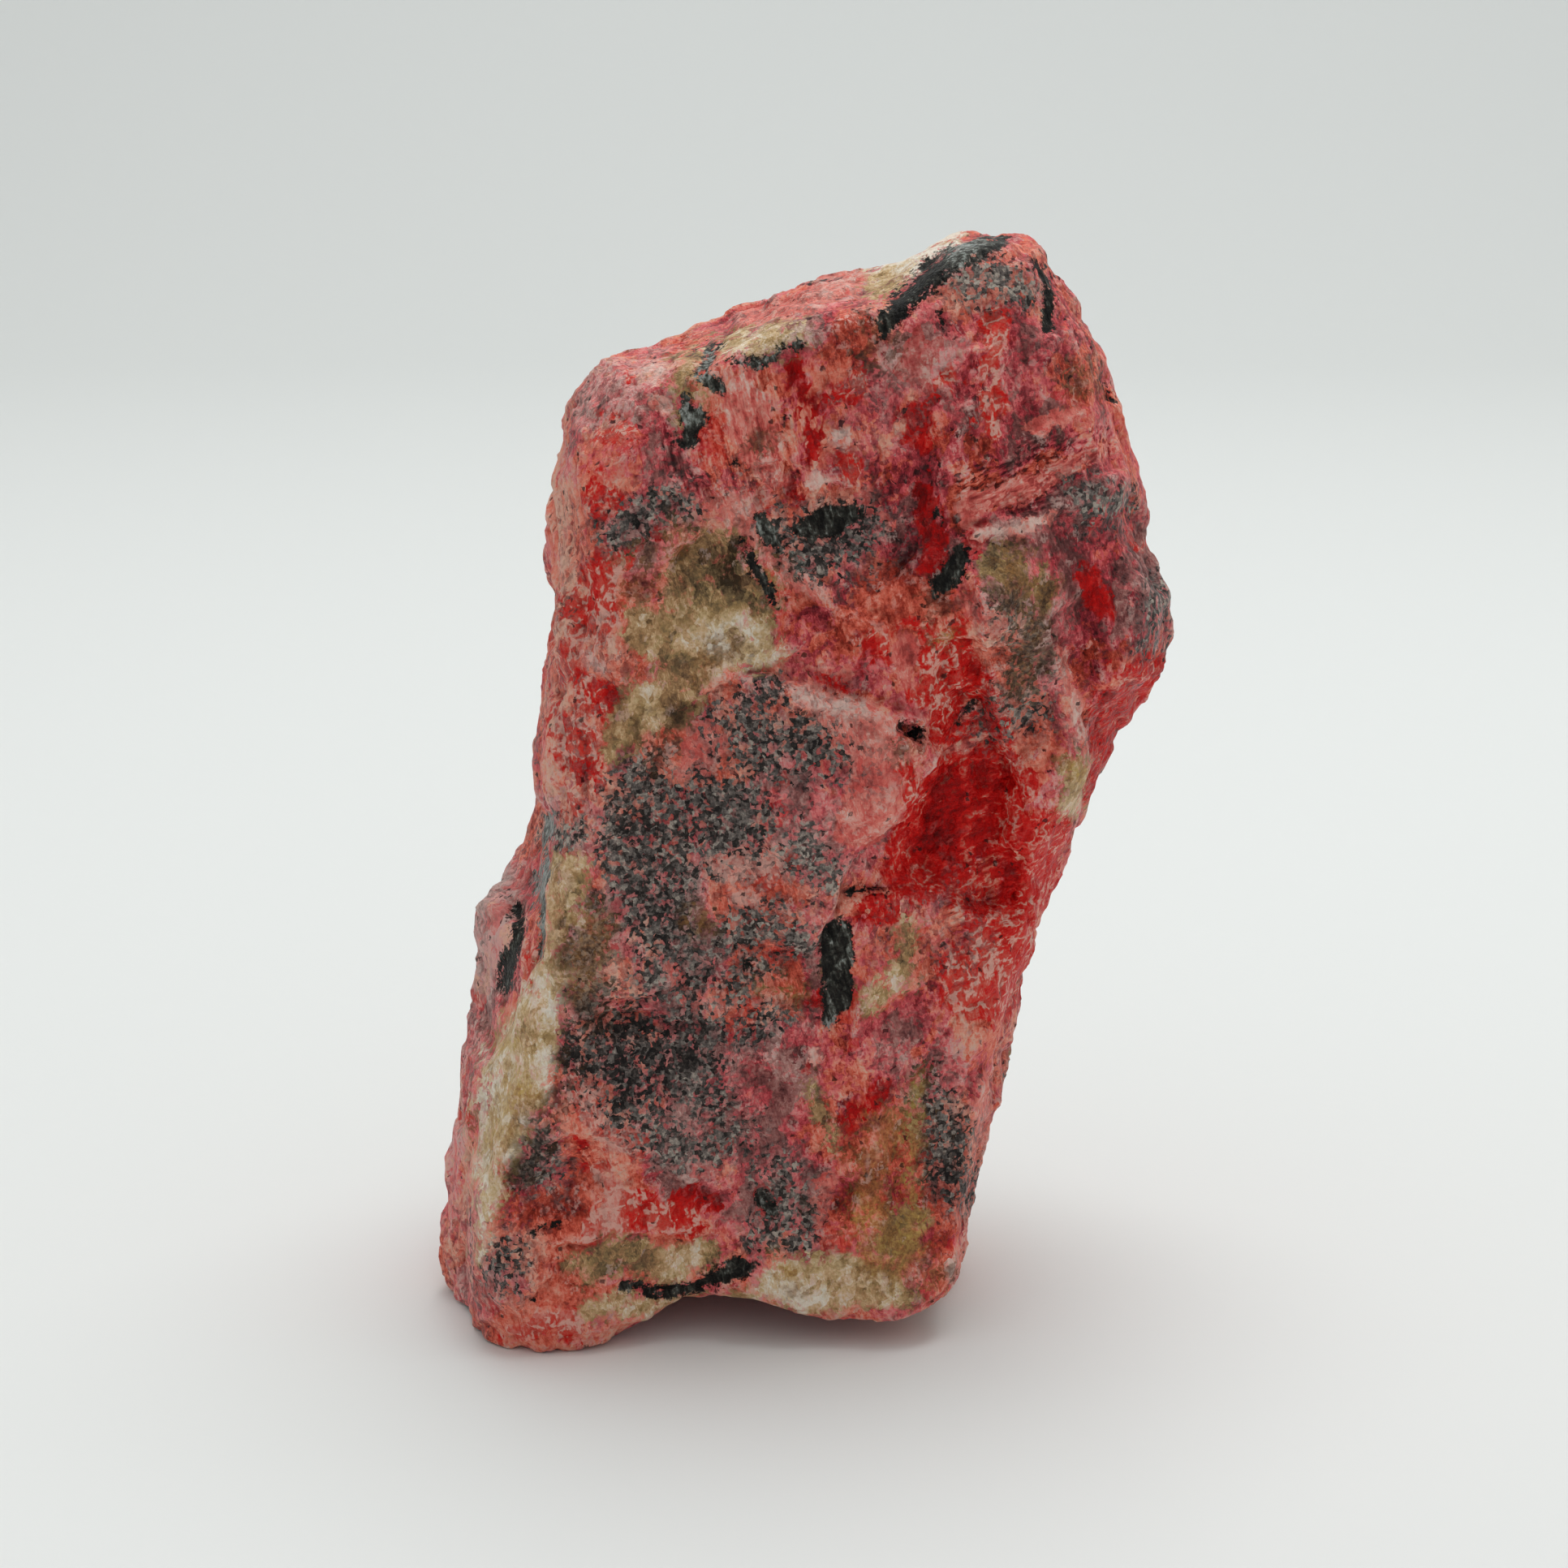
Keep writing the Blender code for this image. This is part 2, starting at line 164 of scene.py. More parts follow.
# Broken steps: name, height and reach (mm), and the line (x, z) of the edge. The side on the left of the
# way the line runs stands out, most at the edge.
LEDGES = [
    ("plate: right edge, then upper edge", 1.1, 4.5, [
        (2.6, 30), (3.9, 33.7), (7.4, 37.4), (9.8, 41), (8.5, 43.2), (3.8, 44.8), (-1.7, 46.3)]),
    ("vein over the quartz", 0.7, 2.6, [(-5.9, 59.8), (-3.4, 57), (0.9, 52.5), (3.7, 48.9)]),
    ("under the crest quartz", 0.6, 2.2, [
        (-6.7, 67.2), (-4.5, 68.1), (0, 69.8), (4.2, 70.9), (6.5, 71.3), (11.5, 75.2)]),
    ("under the fibres", 0.4, 2, [(-8.8, 59.7), (-4.8, 61.6), (-1.3, 62), (1.5, 60.4), (4.4, 59.8)]),
    ("left side of the spine", 0.7, 2.4, [(12.4, 52), (13.3, 46.6), (13.8, 42.5), (15.6, 38.7)]),
    ("right side of the wedge", 0.8, 2, [(19.4, 35.8), (20.5, 40.7), (19.7, 44.8), (18.2, 48.8)]),
    ("below the crimson hollow", 0.5, 2.4, [
        (12.1, 29.1), (8.6, 30.8), (6, 30.5), (3.6, 30.3), (2.6, 27.9)]),
    ("under the quartz dome", 0.6, 2.6, [
        (-10.5, 40.7), (-9.8, 42.7), (-7.7, 44.5), (-4.8, 46.5), (-1.5, 47.7)]),
    ("upper right, lower ledge", 0.55, 2, [(22.9, 61.4), (18.5, 59.3), (15.1, 58), (12.1, 57)]),
    ("upper right, upper ledge", 0.45, 2, [(20.7, 65.7), (17.3, 64.6), (14.2, 63.2), (12, 61.3)]),
    ("over the lower crimson", 0.4, 1.8, [(-16.3, 12.2), (-12.8, 10.5), (-9.2, 8.3), (-5.6, 7.5)]),
    ("over the foot quartz", 0.45, 2.4, [(-17.8, 2.8), (-12.9, 3.7), (-7.5, 4), (-3.1, 3)]),
    ("over the dark rock", 0.35, 2, [(-16.9, 20.3), (-13.3, 21.3), (-7.9, 20.3), (-3.2, 21.7)]),
    ("left edge of the quartz lens", 0.5, 1.4, [
        (-17.5, 34), (-18.1, 30.3), (-18.9, 25.4), (-20.4, 21.3)]),
    ("lower right", 0.4, 2, [(4.1, 16.6), (5.1, 11.5), (4.2, 5.1)]),
    ("right of the upright blade", 0.4, 1.6, [(4.4, 27.9), (4.6, 23.5), (3.7, 19.5)]),
    ("crest, right", 0.5, 2, [(14, 71.6), (12.1, 69.7), (11.6, 65.7), (10.2, 62.3)]),
]
# How wide the drop of a broken step is (mm).
LEDGE_DROP = 0.3

# Patches in painting order, by mineral: tone from 0 to 1, then the discs (x, z, radius in mm).
PATCHES = [("rose", [
    # broad changes of tone in the rose rhodonite
    (0.38, (9.3, 68.5, 2.2), (13.8, 69.1, 2.8), (17.8, 66.8, 2.3)),
    (0.34, (13.3, 63.4, 2.3), (17.3, 60.6, 2.3), (20.9, 56.6, 2.1)),
    (0.7, (7.5, 68.1, 1.5), (9.9, 69.1, 1.2)),
    (0.3, (9.9, 63.2, 1.4)),
    (0.28, (11.9, 66.8, 1.2)),
    (0.5, (17, 65.7, 1.1)),
    (0.26, (3.1, 72.2, 1.3), (3.1, 70.2, 1.3)),
    (0.34, (0.9, 49.7, 1.4), (5.8, 49.7, 1.4)),
    (0.16, (7.1, 60, 2), (9.4, 58.3, 2.6), (8.6, 54.8, 1.8)),
    (0.3, (20.3, 55.4, 2.3), (23, 50.7, 2.3), (20.8, 47.8, 2)),
    (0.38, (-9.3, 63.2, 1.9), (-5.9, 61.7, 2)),
    (0.3, (8.2, 10.9, 1.8), (10.1, 5.7, 2.8), (5.8, 6.4, 2.4)),
    (0.44, (3.4, 16, 3), (1.6, 11.5, 2.4)),
    (0.36, (-20.1, 7, 1.6), (-17.7, 5.1, 1.5)),
    (0.8, (-14.1, 66.8, 2.5), (-10.4, 69.1, 1.7)),
    (0.66, (-1.9, 73, 1.7), (1.4, 74.1, 1.7), (4.2, 73.6, 1.3)),
    # a pale line along the left ridge: painted sheen
    (0.86, (-16.7, 62.3, 0.4), (-16.4, 57.7, 0.5), (-16.2, 54.2, 0.5), (-16.1, 50.2, 0.4)),
    (0.86, (-17, 45.4, 0.4), (-17.2, 41.3, 0.4), (-17.6, 36.4, 0.4)),
    (0.42, (3.2, 53.1, 2.5), (6.1, 50.2, 2.3)),
    (0.44, (-4.9, 28.5, 3.5), (-1.4, 24.8, 2.4), (-3.2, 16.6, 3)),
    (0.58, (-5.6, 9.6, 3), (-3.2, 8.3, 2.4)),
    (0.28, (16.4, 63.4, 2.3), (14.5, 60, 1.4)),
    (1, (-21.7, 31, 1.5), (-22.6, 27.3, 1.5), (-23.3, 23.5, 0.9)),
    (0.74, (-24.2, 12.8, 1.4), (-25, 6.4, 1.4), (-23.9, -0.2, 1.3)),
    (0.6, (12, 19.1, 1.3), (12.8, 25.4, 1.4)),
]), ("granular", [
    # grey speckled rock, quartz and oxide grains
    (0.52, (-11.6, 39.8, 1.4), (-10.7, 36.4, 2.9), (-10.8, 32.8, 3.3), (-10.1, 29.4, 2.7), (-9.4, 26.6, 2),
        (-7.9, 24.8, 1.3)),
    (0.34, (-9.6, 28.5, 1.4), (-8.8, 26.3, 1.2)),
    (0.55, (-6.6, 37.4, 1.5), (-4.6, 36.1, 2.2), (-5.2, 34, 1.8)),
    (0.38, (-2.5, 45.4, 0.9), (-3.1, 44.1, 0.6)),
    (0.6, (-6, 43.7, 0.8), (-4.6, 42.5, 1), (-2.3, 42.2, 1.5), (0.1, 41.6, 1.7), (1.8, 40.4, 1.3)),
    (0.66, (-6.1, 26.6, 0.8), (-4, 27.3, 1.1), (-1.4, 27.6, 1.2), (1, 26.3, 0.8)),
    (0.6, (-4.7, 23.2, 0.7), (-3.2, 24.2, 0.7)),
    (0.66, (-16.6, 34.6, 0.9)),
    (0.75, (0.1, 34, 1.3), (1.5, 31.9, 0.9)),
    (0.3, (-15.7, 15.7, 1), (-15.9, 18.4, 1.5), (-13.3, 18.5, 2.7), (-10.9, 16.6, 2.9), (-8.3, 17.8, 2.4),
        (-12.5, 14.6, 1.7)),
    (0.5, (-8, 15.4, 1.6), (-5.9, 13.8, 1.1)),
    (0.56, (-10.9, 23.5, 0.8), (-8.2, 25.4, 1.1), (-8.8, 21.7, 0.7), (-6.2, 19.8, 1.2)),
    (0.34, (-3.9, 20, 0.7), (-2.6, 20.7, 0.9), (-1.6, 21, 0.6)),
    (0.62, (-11, 12.5, 1.1), (-8.9, 10.9, 1.2), (-6.8, 9.9, 1), (-4.7, 11.8, 0.7)),
    (0.6, (-1.5, 9, 0.8), (-1.1, 5.7, 1.1), (-2.3, 3.4, 1)),
    (0.6, (15, 51.9, 0.9), (16, 49.6, 1), (16.4, 46.6, 0.9), (16.1, 43.7, 0.7)),
    (0.66, (14.8, 44.8, 0.5), (14.1, 42.5, 0.5)),
]), ("stain", [
    (0.42, (15.2, 52.5, 1.1), (16.4, 49.6, 1.3), (16, 46, 1)),
]), ("granular", [
    (0.66, (19.9, 58.9, 1), (22.8, 58.9, 0.6)),
    (0.55, (11.3, 11.5, 1), (11.2, 9, 1.3), (12, 7.1, 1)),
    (0.22, (11.2, 9, 0.7), (11.9, 7.5, 0.5)),
    (0.6, (25.4, 52.8, 0.5), (25.2, 49, 0.6)),
    (0.7, (-14.9, 29.1, 0.8), (-15.5, 26, 1.4), (-15.5, 22.6, 1.4)),
    (0.55, (-20, 11.5, 1.2), (-19.2, 9, 1.3)),
    (0.62, (0.1, 2.5, 1), (0.4, 5.1, 0.5)),
    (0.66, (-11.3, 57.7, 0.8), (-9.9, 58.6, 0.9), (-7.9, 58.4, 0.7)),
    (0.5, (-11.6, 56.9, 0.9), (-12.7, 56.6, 0.6)),
    (0.5, (8.8, 15.4, 0.8), (10, 12.5, 1.2)),
    (0.45, (-22, 2.1, 1.1), (-22.2, 0.2, 0.7)),
    (0.55, (1.5, 54.8, 0.9), (4.3, 55.4, 0.9)),
]), ("quartz", [
    # quartz, upper body
    (0.26, (-6, 55.1, 2.1), (-6.7, 52.6, 3), (-4.5, 54, 2.3), (-3.1, 51.6, 1.9), (-7.7, 54, 1.7)),
    (0.32, (-7.1, 53.5, 1.7), (-6, 51.6, 1.7)),
    (0.34, (-7.7, 51, 1.5), (-4.8, 50.7, 1.7), (-2.5, 50.5, 1)),
    (0.5, (-10.9, 50, 1.7), (-8.6, 49.1, 2.3)),
    (0.72, (-6.5, 48.4, 1.8), (-3.4, 48.7, 1.6), (-1.5, 48.2, 0.8)),
    (0.85, (-6.7, 48.4, 0.7), (-5.7, 48.5, 0.6)),
    (0.8, (-3, 48.7, 0.6), (-1.7, 48.4, 0.5)),
    (0.95, (-4.1, 50, 0.2)),
    (0.92, (-8.1, 48.2, 0.3)),
    (0.36, (-8.6, 46, 2), (-10.6, 44.2, 1.6), (-12.4, 42.5, 1.3), (-13.5, 41.1, 0.8)),
    (0.68, (-11.2, 45.4, 0.9), (-10.9, 44.2, 0.8)),
    (0.55, (-12.7, 42.2, 0.8), (-13.3, 41.3, 0.5)),
    (0.12, (-4.1, 55.1, 0.6), (-4.5, 53.8, 0.6)),
    (0.3, (13.8, 54.5, 1), (16.9, 53.4, 1), (17.4, 51.6, 0.8)),
    # quartz on the crest
    (0.7, (-6.5, 69.2, 0.8), (-4.5, 69.9, 1.2), (-2.2, 70.3, 0.9), (0, 70.6, 0.5)),
    (0.45, (-7.6, 68.4, 0.9), (-7.6, 66.6, 1), (-7.8, 64.8, 0.7)),
    (1, (5.7, 74.1, 1.1), (6.9, 74.7, 1.3), (8.2, 75.4, 1.2), (9.8, 76.3, 0.9), (10.9, 76.9, 0.6)),
    (0.58, (5.1, 73.4, 0.6), (6.7, 73.8, 0.6)),
]), ("granular", [
    (0.8, (11, 74.1, 0.6), (12.3, 74.2, 0.9), (13.6, 74.7, 0.8)),
    (0.72, (13.8, 73.8, 0.8), (15.3, 74, 0.6)),
]), ("quartz", [
    # quartz, left edge and foot
    (0.6, (-16.6, 32.3, 1.2), (-16.6, 30.3, 1.4), (-17.3, 28.4, 1.1), (-17.6, 25.9, 0.8)),
    (0.45, (-15.7, 30.3, 0.6), (-15.8, 28.4, 0.7)),
    (0.8, (-17.4, 24.5, 0.9), (-18.7, 22.3, 1.5), (-19.7, 19.8, 2.1), (-20.4, 17.3, 2.3),
        (-21.3, 14.7, 1.9), (-22, 11.8, 1.7), (-22.7, 9.3, 1.3), (-23, 6, 0.7), (-23.6, 2.5, 0.4)),
    (0.58, (-19.7, 20.5, 0.8), (-19, 17.9, 0.8), (-19.6, 14.7, 0.8)),
    (0.92, (-23.3, 18.5, 0.2), (-23.1, 16.5, 0.2), (-23.6, 11.5, 0.2), (-23.1, 8.3, 0.2)),
    (0.97, (-18.6, 17.4, 0.2), (-19, 15.2, 0.3)),
    # quartz, lower right
    (0.66, (5.1, 22, 0.8), (6.9, 23.2, 1), (7.9, 25.4, 0.7)),
    (0.5, (7.9, 25.4, 0.6), (7.9, 27.3, 0.5), (8, 28.5, 0.4)),
    (0.2, (8.5, 27.3, 0.2), (8.7, 23.8, 0.2)),
    (0.66, (19.4, 38.9, 0.6), (19.8, 40.2, 0.5), (18.6, 36.6, 0.5), (19.7, 37.4, 0.4)),
    (0.34, (-16, 1.2, 1.2), (-12.9, 1.8, 1.5), (-9.9, 1.5, 1.8), (-7.3, 2.1, 1.2)),
    (0.68, (-10.2, 2.5, 0.5), (-9.1, 0.8, 0.9), (-7.7, 2.9, 0.5)),
    (0.64, (-2, -0.2, 1.3), (1, -0.5, 2.1), (3.6, -0.3, 2.2), (6.2, -0.8, 1.6), (7.9, -1.5, 0.9)),
    (0.88, (-1.7, -0.5, 0.6), (1.6, -1.5, 0.5), (0.1, -2, 0.4)),
    (0.64, (-16, -2.9, 0.7), (-13.6, -1.8, 0.9), (-11.2, -2.5, 0.7), (-8, -2, 0.7), (-5.1, -1.5, 0.7),
        (-2.6, -1.5, 0.7)),
    (0.3, (7.1, 3.1, 1.5), (8.3, 5.1, 1)),
    (0.35, (1, 15.4, 0.7), (2.2, 12.8, 0.6), (2.6, 10.9, 0.5)),
]), ("red", [
    # clear crimson rhodonite
    (0.4, (10.7, 48.4, 2), (11.3, 45.4, 2.5), (11.9, 42.5, 3), (12.6, 39.5, 3.4), (12, 36.4, 3.7),
        (10.3, 34, 3.6), (8.3, 31.9, 2.3)),
    (0.52, (6.4, 48.4, 1.5), (9, 48.4, 1.7), (9.6, 45.4, 1.7)),
    (0.42, (15.2, 38.9, 1.6), (16.3, 34.6, 2.8), (16.9, 31, 2.3), (16, 27.9, 2.6), (14.7, 24.8, 2.4),
        (14.3, 21.7, 1.8)),
    (0.18, (10.3, 34.6, 1.5), (10.9, 37.4, 1.3)),
    (0.22, (14, 39.2, 0.8)),
    (0.24, (15.3, 31.6, 1.3), (16.3, 32.8, 0.9)),
    (0.4, (12.4, 30.3, 1.5), (13.4, 27.3, 1.5)),
    (0.2, (0, 68.5, 0.6), (0.8, 65.7, 0.8), (1.3, 62.6, 0.8)),
    (0.4, (2.1, 68, 0.5), (2.6, 65.7, 0.5)),
    (0.3, (8.2, 64.3, 1.4)),
    (0.1, (8.3, 60, 0.8), (9.4, 57.7, 1.1), (8.9, 54.8, 0.7)),
    (0.2, (20.1, 53.5, 0.9), (21.7, 51.2, 0.6)),
    (0.35, (6, 28.8, 1.4), (4.5, 29.7, 0.7)),
    (0.22, (5.1, 47.5, 0.6)),
    (0.3, (1.8, 46.5, 0.3), (3.5, 45.7, 0.5)),
    (0.1, (-10.5, 56.3, 0.5), (-9, 56.1, 0.3)),
    (0.15, (-8.3, 60.2, 0.3)),
    (0.05, (-2.3, 37.7, 0.5)),
    (0.12, (1, 22.3, 0.5)),
    (0.2, (4.9, 14.1, 0.7), (6.1, 15.4, 0.6)),
    (0.25, (8.6, 16.3, 0.6)),
    (0.2, (3.1, 13.1, 0.5)),
    (0.18, (-15.6, 11.2, 0.5), (-16.4, 11.7, 0.4)),
    (0.2, (0.3, 59.3, 0.7), (-0.8, 59.9, 0.5)),
    (0.12, (-19.4, -2.5, 0.9)),
    (0.42, (-13.3, 58.9, 1.4), (-14.2, 60, 0.8)),
    (0.66, (-12.9, 54.8, 1.1), (-14.1, 52.5, 1.7), (-14.7, 49.3, 1.6), (-15.1, 46.6, 1.4)),
    (0.5, (-13.4, 54.2, 0.6), (-13.9, 52.2, 0.7)),
    (0.62, (-12.5, 54.2, 0.7), (-12.7, 53.1, 0.6)),
    (0.5, (-14.4, 44.8, 1.4), (-15.2, 45.4, 0.8)),
    (0.62, (-16.3, 43.1, 1.2), (-15.8, 40.7, 1.5), (-14.8, 39.5, 1.3)),
    (0.66, (-16.5, 37.4, 0.8), (-15.7, 35.8, 0.7)),
    (0.2, (-14.8, 39.5, 0.4)),
    (0.66, (-12.7, 63.7, 1.1)),
    (0.6, (-8.2, 69.7, 0.4)),
    (0.6, (-11.8, 68.1, 0.4)),
    (0.68, (3.6, 61.4, 0.7)),
    (0.86, (-3.4, 59.3, 1)),
    (0.56, (13.5, 71.3, 1.1), (13.4, 67.4, 1), (13.3, 64.6, 0.9)),
    (0.6, (10.2, 67.6, 0.8)),
    (0.76, (3.9, 67.4, 0.7)),
    (0.36, (25.1, 47.1, 1.2), (23.9, 45.4, 2), (22.6, 42.8, 1.9), (21.5, 39.8, 1.3), (20.5, 38, 0.7)),
    (0.36, (22.2, 44.1, 0.7), (21.9, 42.8, 0.5)),
    (0.45, (23.5, 46.5, 0.4)),
    (0.62, (24.6, 56.3, 0.7)),
    (0.7, (-19.4, 26.3, 0.5), (-19.4, 24.5, 0.6), (-19.2, 23.4, 0.4)),
    (0.6, (-23.6, 22.6, 0.5)),
    (0.6, (-24.8, 13.4, 0.7)),
    (0.8, (-16, 15.4, 1.1), (-15.5, 13.4, 1.2), (-13.3, 11.5, 1.4)),
    (0.8, (-14.4, 8.3, 1), (-12.9, 5.7, 1.7), (-14.7, 4.3, 1.3)),
    (0.52, (-11.1, 5.8, 1.6), (-8.2, 5.2, 1.2)),
    (0.2, (-6.2, 6.4, 0.5), (-8, 7, 0.4)),
    (0.68, (-21, -4.1, 1.2), (-18.5, -2.9, 1.1), (-15.9, -4.5, 0.7)),
    (0.6, (13.1, 24.8, 2.1), (13.7, 21.7, 1.5), (11.6, 23.2, 1.3)),
    (0.84, (-1.7, 32.8, 1.5), (-5.7, 32.2, 1.1)),
    (0.98, (-4.6, 30, 0.9), (-3.4, 29.6, 0.6)),
    (0.45, (17.9, 33.4, 0.6), (16.8, 29.7, 0.7), (16.1, 24.8, 0.6)),
    (0.4, (14.9, 39.8, 0.8)),
]), ("rose", [
    (0.6, (17.5, 37.4, 0.8)),
]), ("pale", [
    # pale pink and salmon veins and plates
    (0.5, (-4.5, 67.4, 1.4), (-3.4, 65.1, 1.7), (-2.8, 63.2, 1.4)),
    (0.58, (-5.9, 59.4, 0.7), (-4.5, 58.6, 0.9), (-3.4, 56.9, 0.9), (-2, 55.2, 0.9), (-0.5, 53.8, 0.8),
        (1.1, 52.3, 0.7)),
    (0.4, (-2.2, 61.6, 0.9), (-1.7, 60.6, 0.8)),
    (0.48, (12, 58.6, 1), (14.5, 59.6, 0.9), (17.3, 60.8, 0.7), (20.1, 62.2, 0.5), (22.4, 63, 0.3)),
    (0.45, (16.7, 64.3, 0.6), (19.5, 65.1, 0.6)),
    (0.42, (4.6, 59.2, 0.7), (6, 57.4, 0.7)),
    (0.46, (0.3, 45.4, 0.8), (2.7, 43.7, 1.5), (4.9, 42.5, 2.1), (5.5, 39.5, 2.3), (4.8, 36.1, 1.9)),
    (0.34, (7.9, 42.5, 0.6), (8.5, 41, 0.5)),
]), ("red", [
    (0.46, (7.5, 39.8, 0.7), (7.9, 37.4, 0.9)),
]), ("pale", [
    (0.74, (2.1, 44.5, 0.7), (3.8, 44.1, 0.7)),
]), ("granular", [
    (0.44, (-1.7, 42.8, 1), (0.1, 42.2, 1.3), (1.6, 40.7, 1)),
    (0.5, (-3.2, 40.1, 0.8), (-1.1, 39.8, 0.8)),
]), ("pale", [
    (0.8, (-1.4, 46.3, 0.2), (0.9, 45.4, 0.2), (3.8, 44.7, 0.2)),
    (0.76, (0.1, 47.3, 0.2), (3.8, 46.6, 0.2)),
    (0.62, (18.5, 48.4, 0.4), (19.4, 45.4, 0.5), (19.8, 42.5, 0.5), (20.1, 40.5, 0.4)),
    (0.4, (7.4, 48.7, 0.9), (7.7, 46.3, 0.6)),
    (0.46, (-6.6, 42.2, 1.4), (-7.2, 40.4, 1.3), (-8.3, 39.5, 0.8)),
    (0.48, (-9.1, 24.5, 0.7), (-7.9, 22.3, 0.7), (-6.1, 21.5, 0.5)),
    (0.48, (-14.6, 34.6, 0.5)),
    (0.55, (13.8, 16, 0.4), (13.6, 11.5, 0.4), (12.9, 5.1, 0.4), (12.3, 1.2, 0.4), (11.8, -1.5, 0.4)),
    (0.92, (0.9, 18.4, 0.2), (1.2, 17.6, 0.3)),
    (0.5, (1.9, 7.7, 0.7), (1.6, 5.1, 0.5)),
    (0.95, (2.9, 63.6, 0.5), (4.3, 63.7, 0.3), (3.4, 63, 0.3)),
    (0.9, (1.2, 60.6, 0.5), (2.1, 60.8, 0.3)),
    (0.9, (-9.3, 65.5, 0.5), (-10, 65.8, 0.3)),
    (0.78, (-10.4, 68.4, 0.7), (-9.7, 67.7, 0.6)),
    (0.85, (12.6, 56.6, 0.5), (15.1, 57, 0.6), (17.1, 58, 0.4)),
    (0.74, (-14.8, 47.7, 0.7), (-14.1, 46.9, 0.6)),
    (0.5, (9.6, 41, 0.2), (11.5, 40.6, 0.2), (13.4, 41.6, 0.2)),
    (0.96, (11.2, 2.1, 0.2), (11.5, -0.2, 0.2)),
    (0.34, (11.8, 51.9, 0.8), (13.3, 50.7, 0.7)),
    (0.62, (1.4, 74.1, 1.7), (3.7, 74.4, 1.1)),
    (0.52, (-3.1, 72.2, 1.3), (-0.5, 73, 1.5)),
]), ("oxide", [
    # black and grey oxide blades
    (0.42, (13.8, 77.1, 0.6), (12.3, 76.5, 0.8), (10.6, 75.7, 0.8), (9.3, 74.8, 0.8)),
    (0.14, (9.3, 74.4, 0.8), (7.9, 73.2, 0.8), (6.7, 71.9, 0.8), (5.7, 70.9, 0.5)),
    (0.8, (12, 76.9, 0.3), (10.8, 76.2, 0.3)),
    (0.1, (7.6, 72.9, 0.4), (6.5, 71.6, 0.4), (5.8, 71.1, 0.3)),
    (0.2, (16.6, 75.5, 0.3), (17.1, 74.1, 0.4), (17.3, 72.7, 0.4), (17, 70.9, 0.3)),
    (0.72, (-7.9, 66, 0.5), (-7.3, 64.9, 0.8), (-7.6, 63.9, 0.6)),
    (0.05, (-8.8, 63.6, 0.3), (-8.3, 63.1, 0.3), (-7.3, 63.4, 0.3)),
    (0.8, (-6, 69.2, 0.4), (-6.3, 68.3, 0.4), (-6.8, 67.6, 0.3), (-5.6, 67, 0.3)),
    (0.3, (-7.2, 69.7, 0.2), (-6.1, 70.2, 0.3), (-5.4, 69.9, 0.2)),
    (0.62, (-4.5, 68.3, 0.2), (-2.5, 68.7, 0.2), (-1.1, 69.5, 0.2), (0.1, 69.9, 0.2)),
    (0.62, (-2.8, 57.7, 0.5), (-1.7, 56.1, 0.5), (0.3, 54.8, 0.6)),
]), ("granular", [
    (0.46, (-1.4, 57, 0.5), (0, 55.8, 1.1), (2.6, 56.3, 2.1), (4.4, 56.9, 1.4)),
]), ("oxide", [
    (0.28, (0.3, 56.9, 0.6), (2.3, 57.6, 1.2), (3.7, 58.2, 0.7)),
    (0.16, (11.7, 55.7, 0.6), (10.9, 54.2, 1), (9.9, 53, 0.7)),
    (0.3, (2.6, 27.3, 1.1), (2.9, 25.1, 1.3), (2.8, 22.6, 1.2), (2.3, 20.3, 0.7)),
    (0.66, (2.4, 21, 0.4), (2.2, 20, 0.4)),
    (0.2, (-20.4, 29.1, 0.4), (-20.4, 27.6, 0.5), (-21.1, 25.4, 0.6), (-21.5, 23, 0.4)),
    (0.84, (-18, 36.1, 0.4), (-18.3, 33.4, 0.4), (-18.7, 31, 0.5), (-18.6, 27.9, 0.4), (-18.5, 25.4, 0.3)),
    (0.24, (-13, -0.5, 0.4), (-10.5, -1.1, 0.5), (-8.1, -0.8, 0.5), (-6.3, 0, 0.7), (-4.7, 1, 0.8),
        (-3.5, 1.2, 0.5)),
    (0.1, (-0.9, 64.9, 0.2)),
    (0.1, (-4.4, 61.8, 0.2)),
    (0.1, (9.7, 71.8, 0.3), (10.6, 70.5, 0.2)),
    (0.1, (-17.4, 52.5, 0.2), (-17.7, 51.6, 0.2)),
    (0.1, (-20, -1.5, 0.2)),
    (0.1, (9.7, 58.3, 0.2), (9.8, 57.7, 0.2)),
    (0.1, (11.5, 63.4, 0.2)),
    (0.25, (12.5, 44.1, 0.3), (11.9, 42.9, 0.3)),
    (0, (7.4, 42.9, 0.3), (8.4, 42.2, 0.3)),
    (0.15, (-3.9, 56, 0.2), (-3, 54.2, 0.3), (-2.2, 52.8, 0.3), (-1.8, 51.8, 0.3)),
    (0.12, (-19.9, 3.8, 0.2), (-17.7, 4.7, 0.2)),
    (0.1, (3.6, 30.4, 0.2), (6, 30.6, 0.2)),
    (0.3, (21.4, 67.4, 0.2), (21.6, 66.3, 0.3)),
    (0.1, (-4.6, 26.3, 0.3)),
    (0.1, (-3.8, 24.8, 0.4)),
    (0.1, (-6, 26.3, 0.2)),
    (0.1, (2.7, 28.9, 0.2)),
    (0.1, (-11.3, 57.5, 0.3)),
    (0.1, (-10.5, 59.3, 0.2)),
    (0.45, (-2.6, 6.4, 0.7), (-2, 5.8, 0.6)),
]), ("stain", [
    # weathering stains, ochre to brown
    (0.3, (-8.3, 44.4, 0.4), (-9.5, 43.1, 0.5), (-10, 41, 0.5)),
    (0.9, (-12.1, 54.8, 0.3)),
    (0.4, (-11.1, 54.8, 0.9), (-11.1, 51.9, 0.9)),
    (0.7, (-2.8, 54.8, 0.4), (-2, 53.8, 0.4)),
    (0.75, (10.1, 49.3, 0.5)),
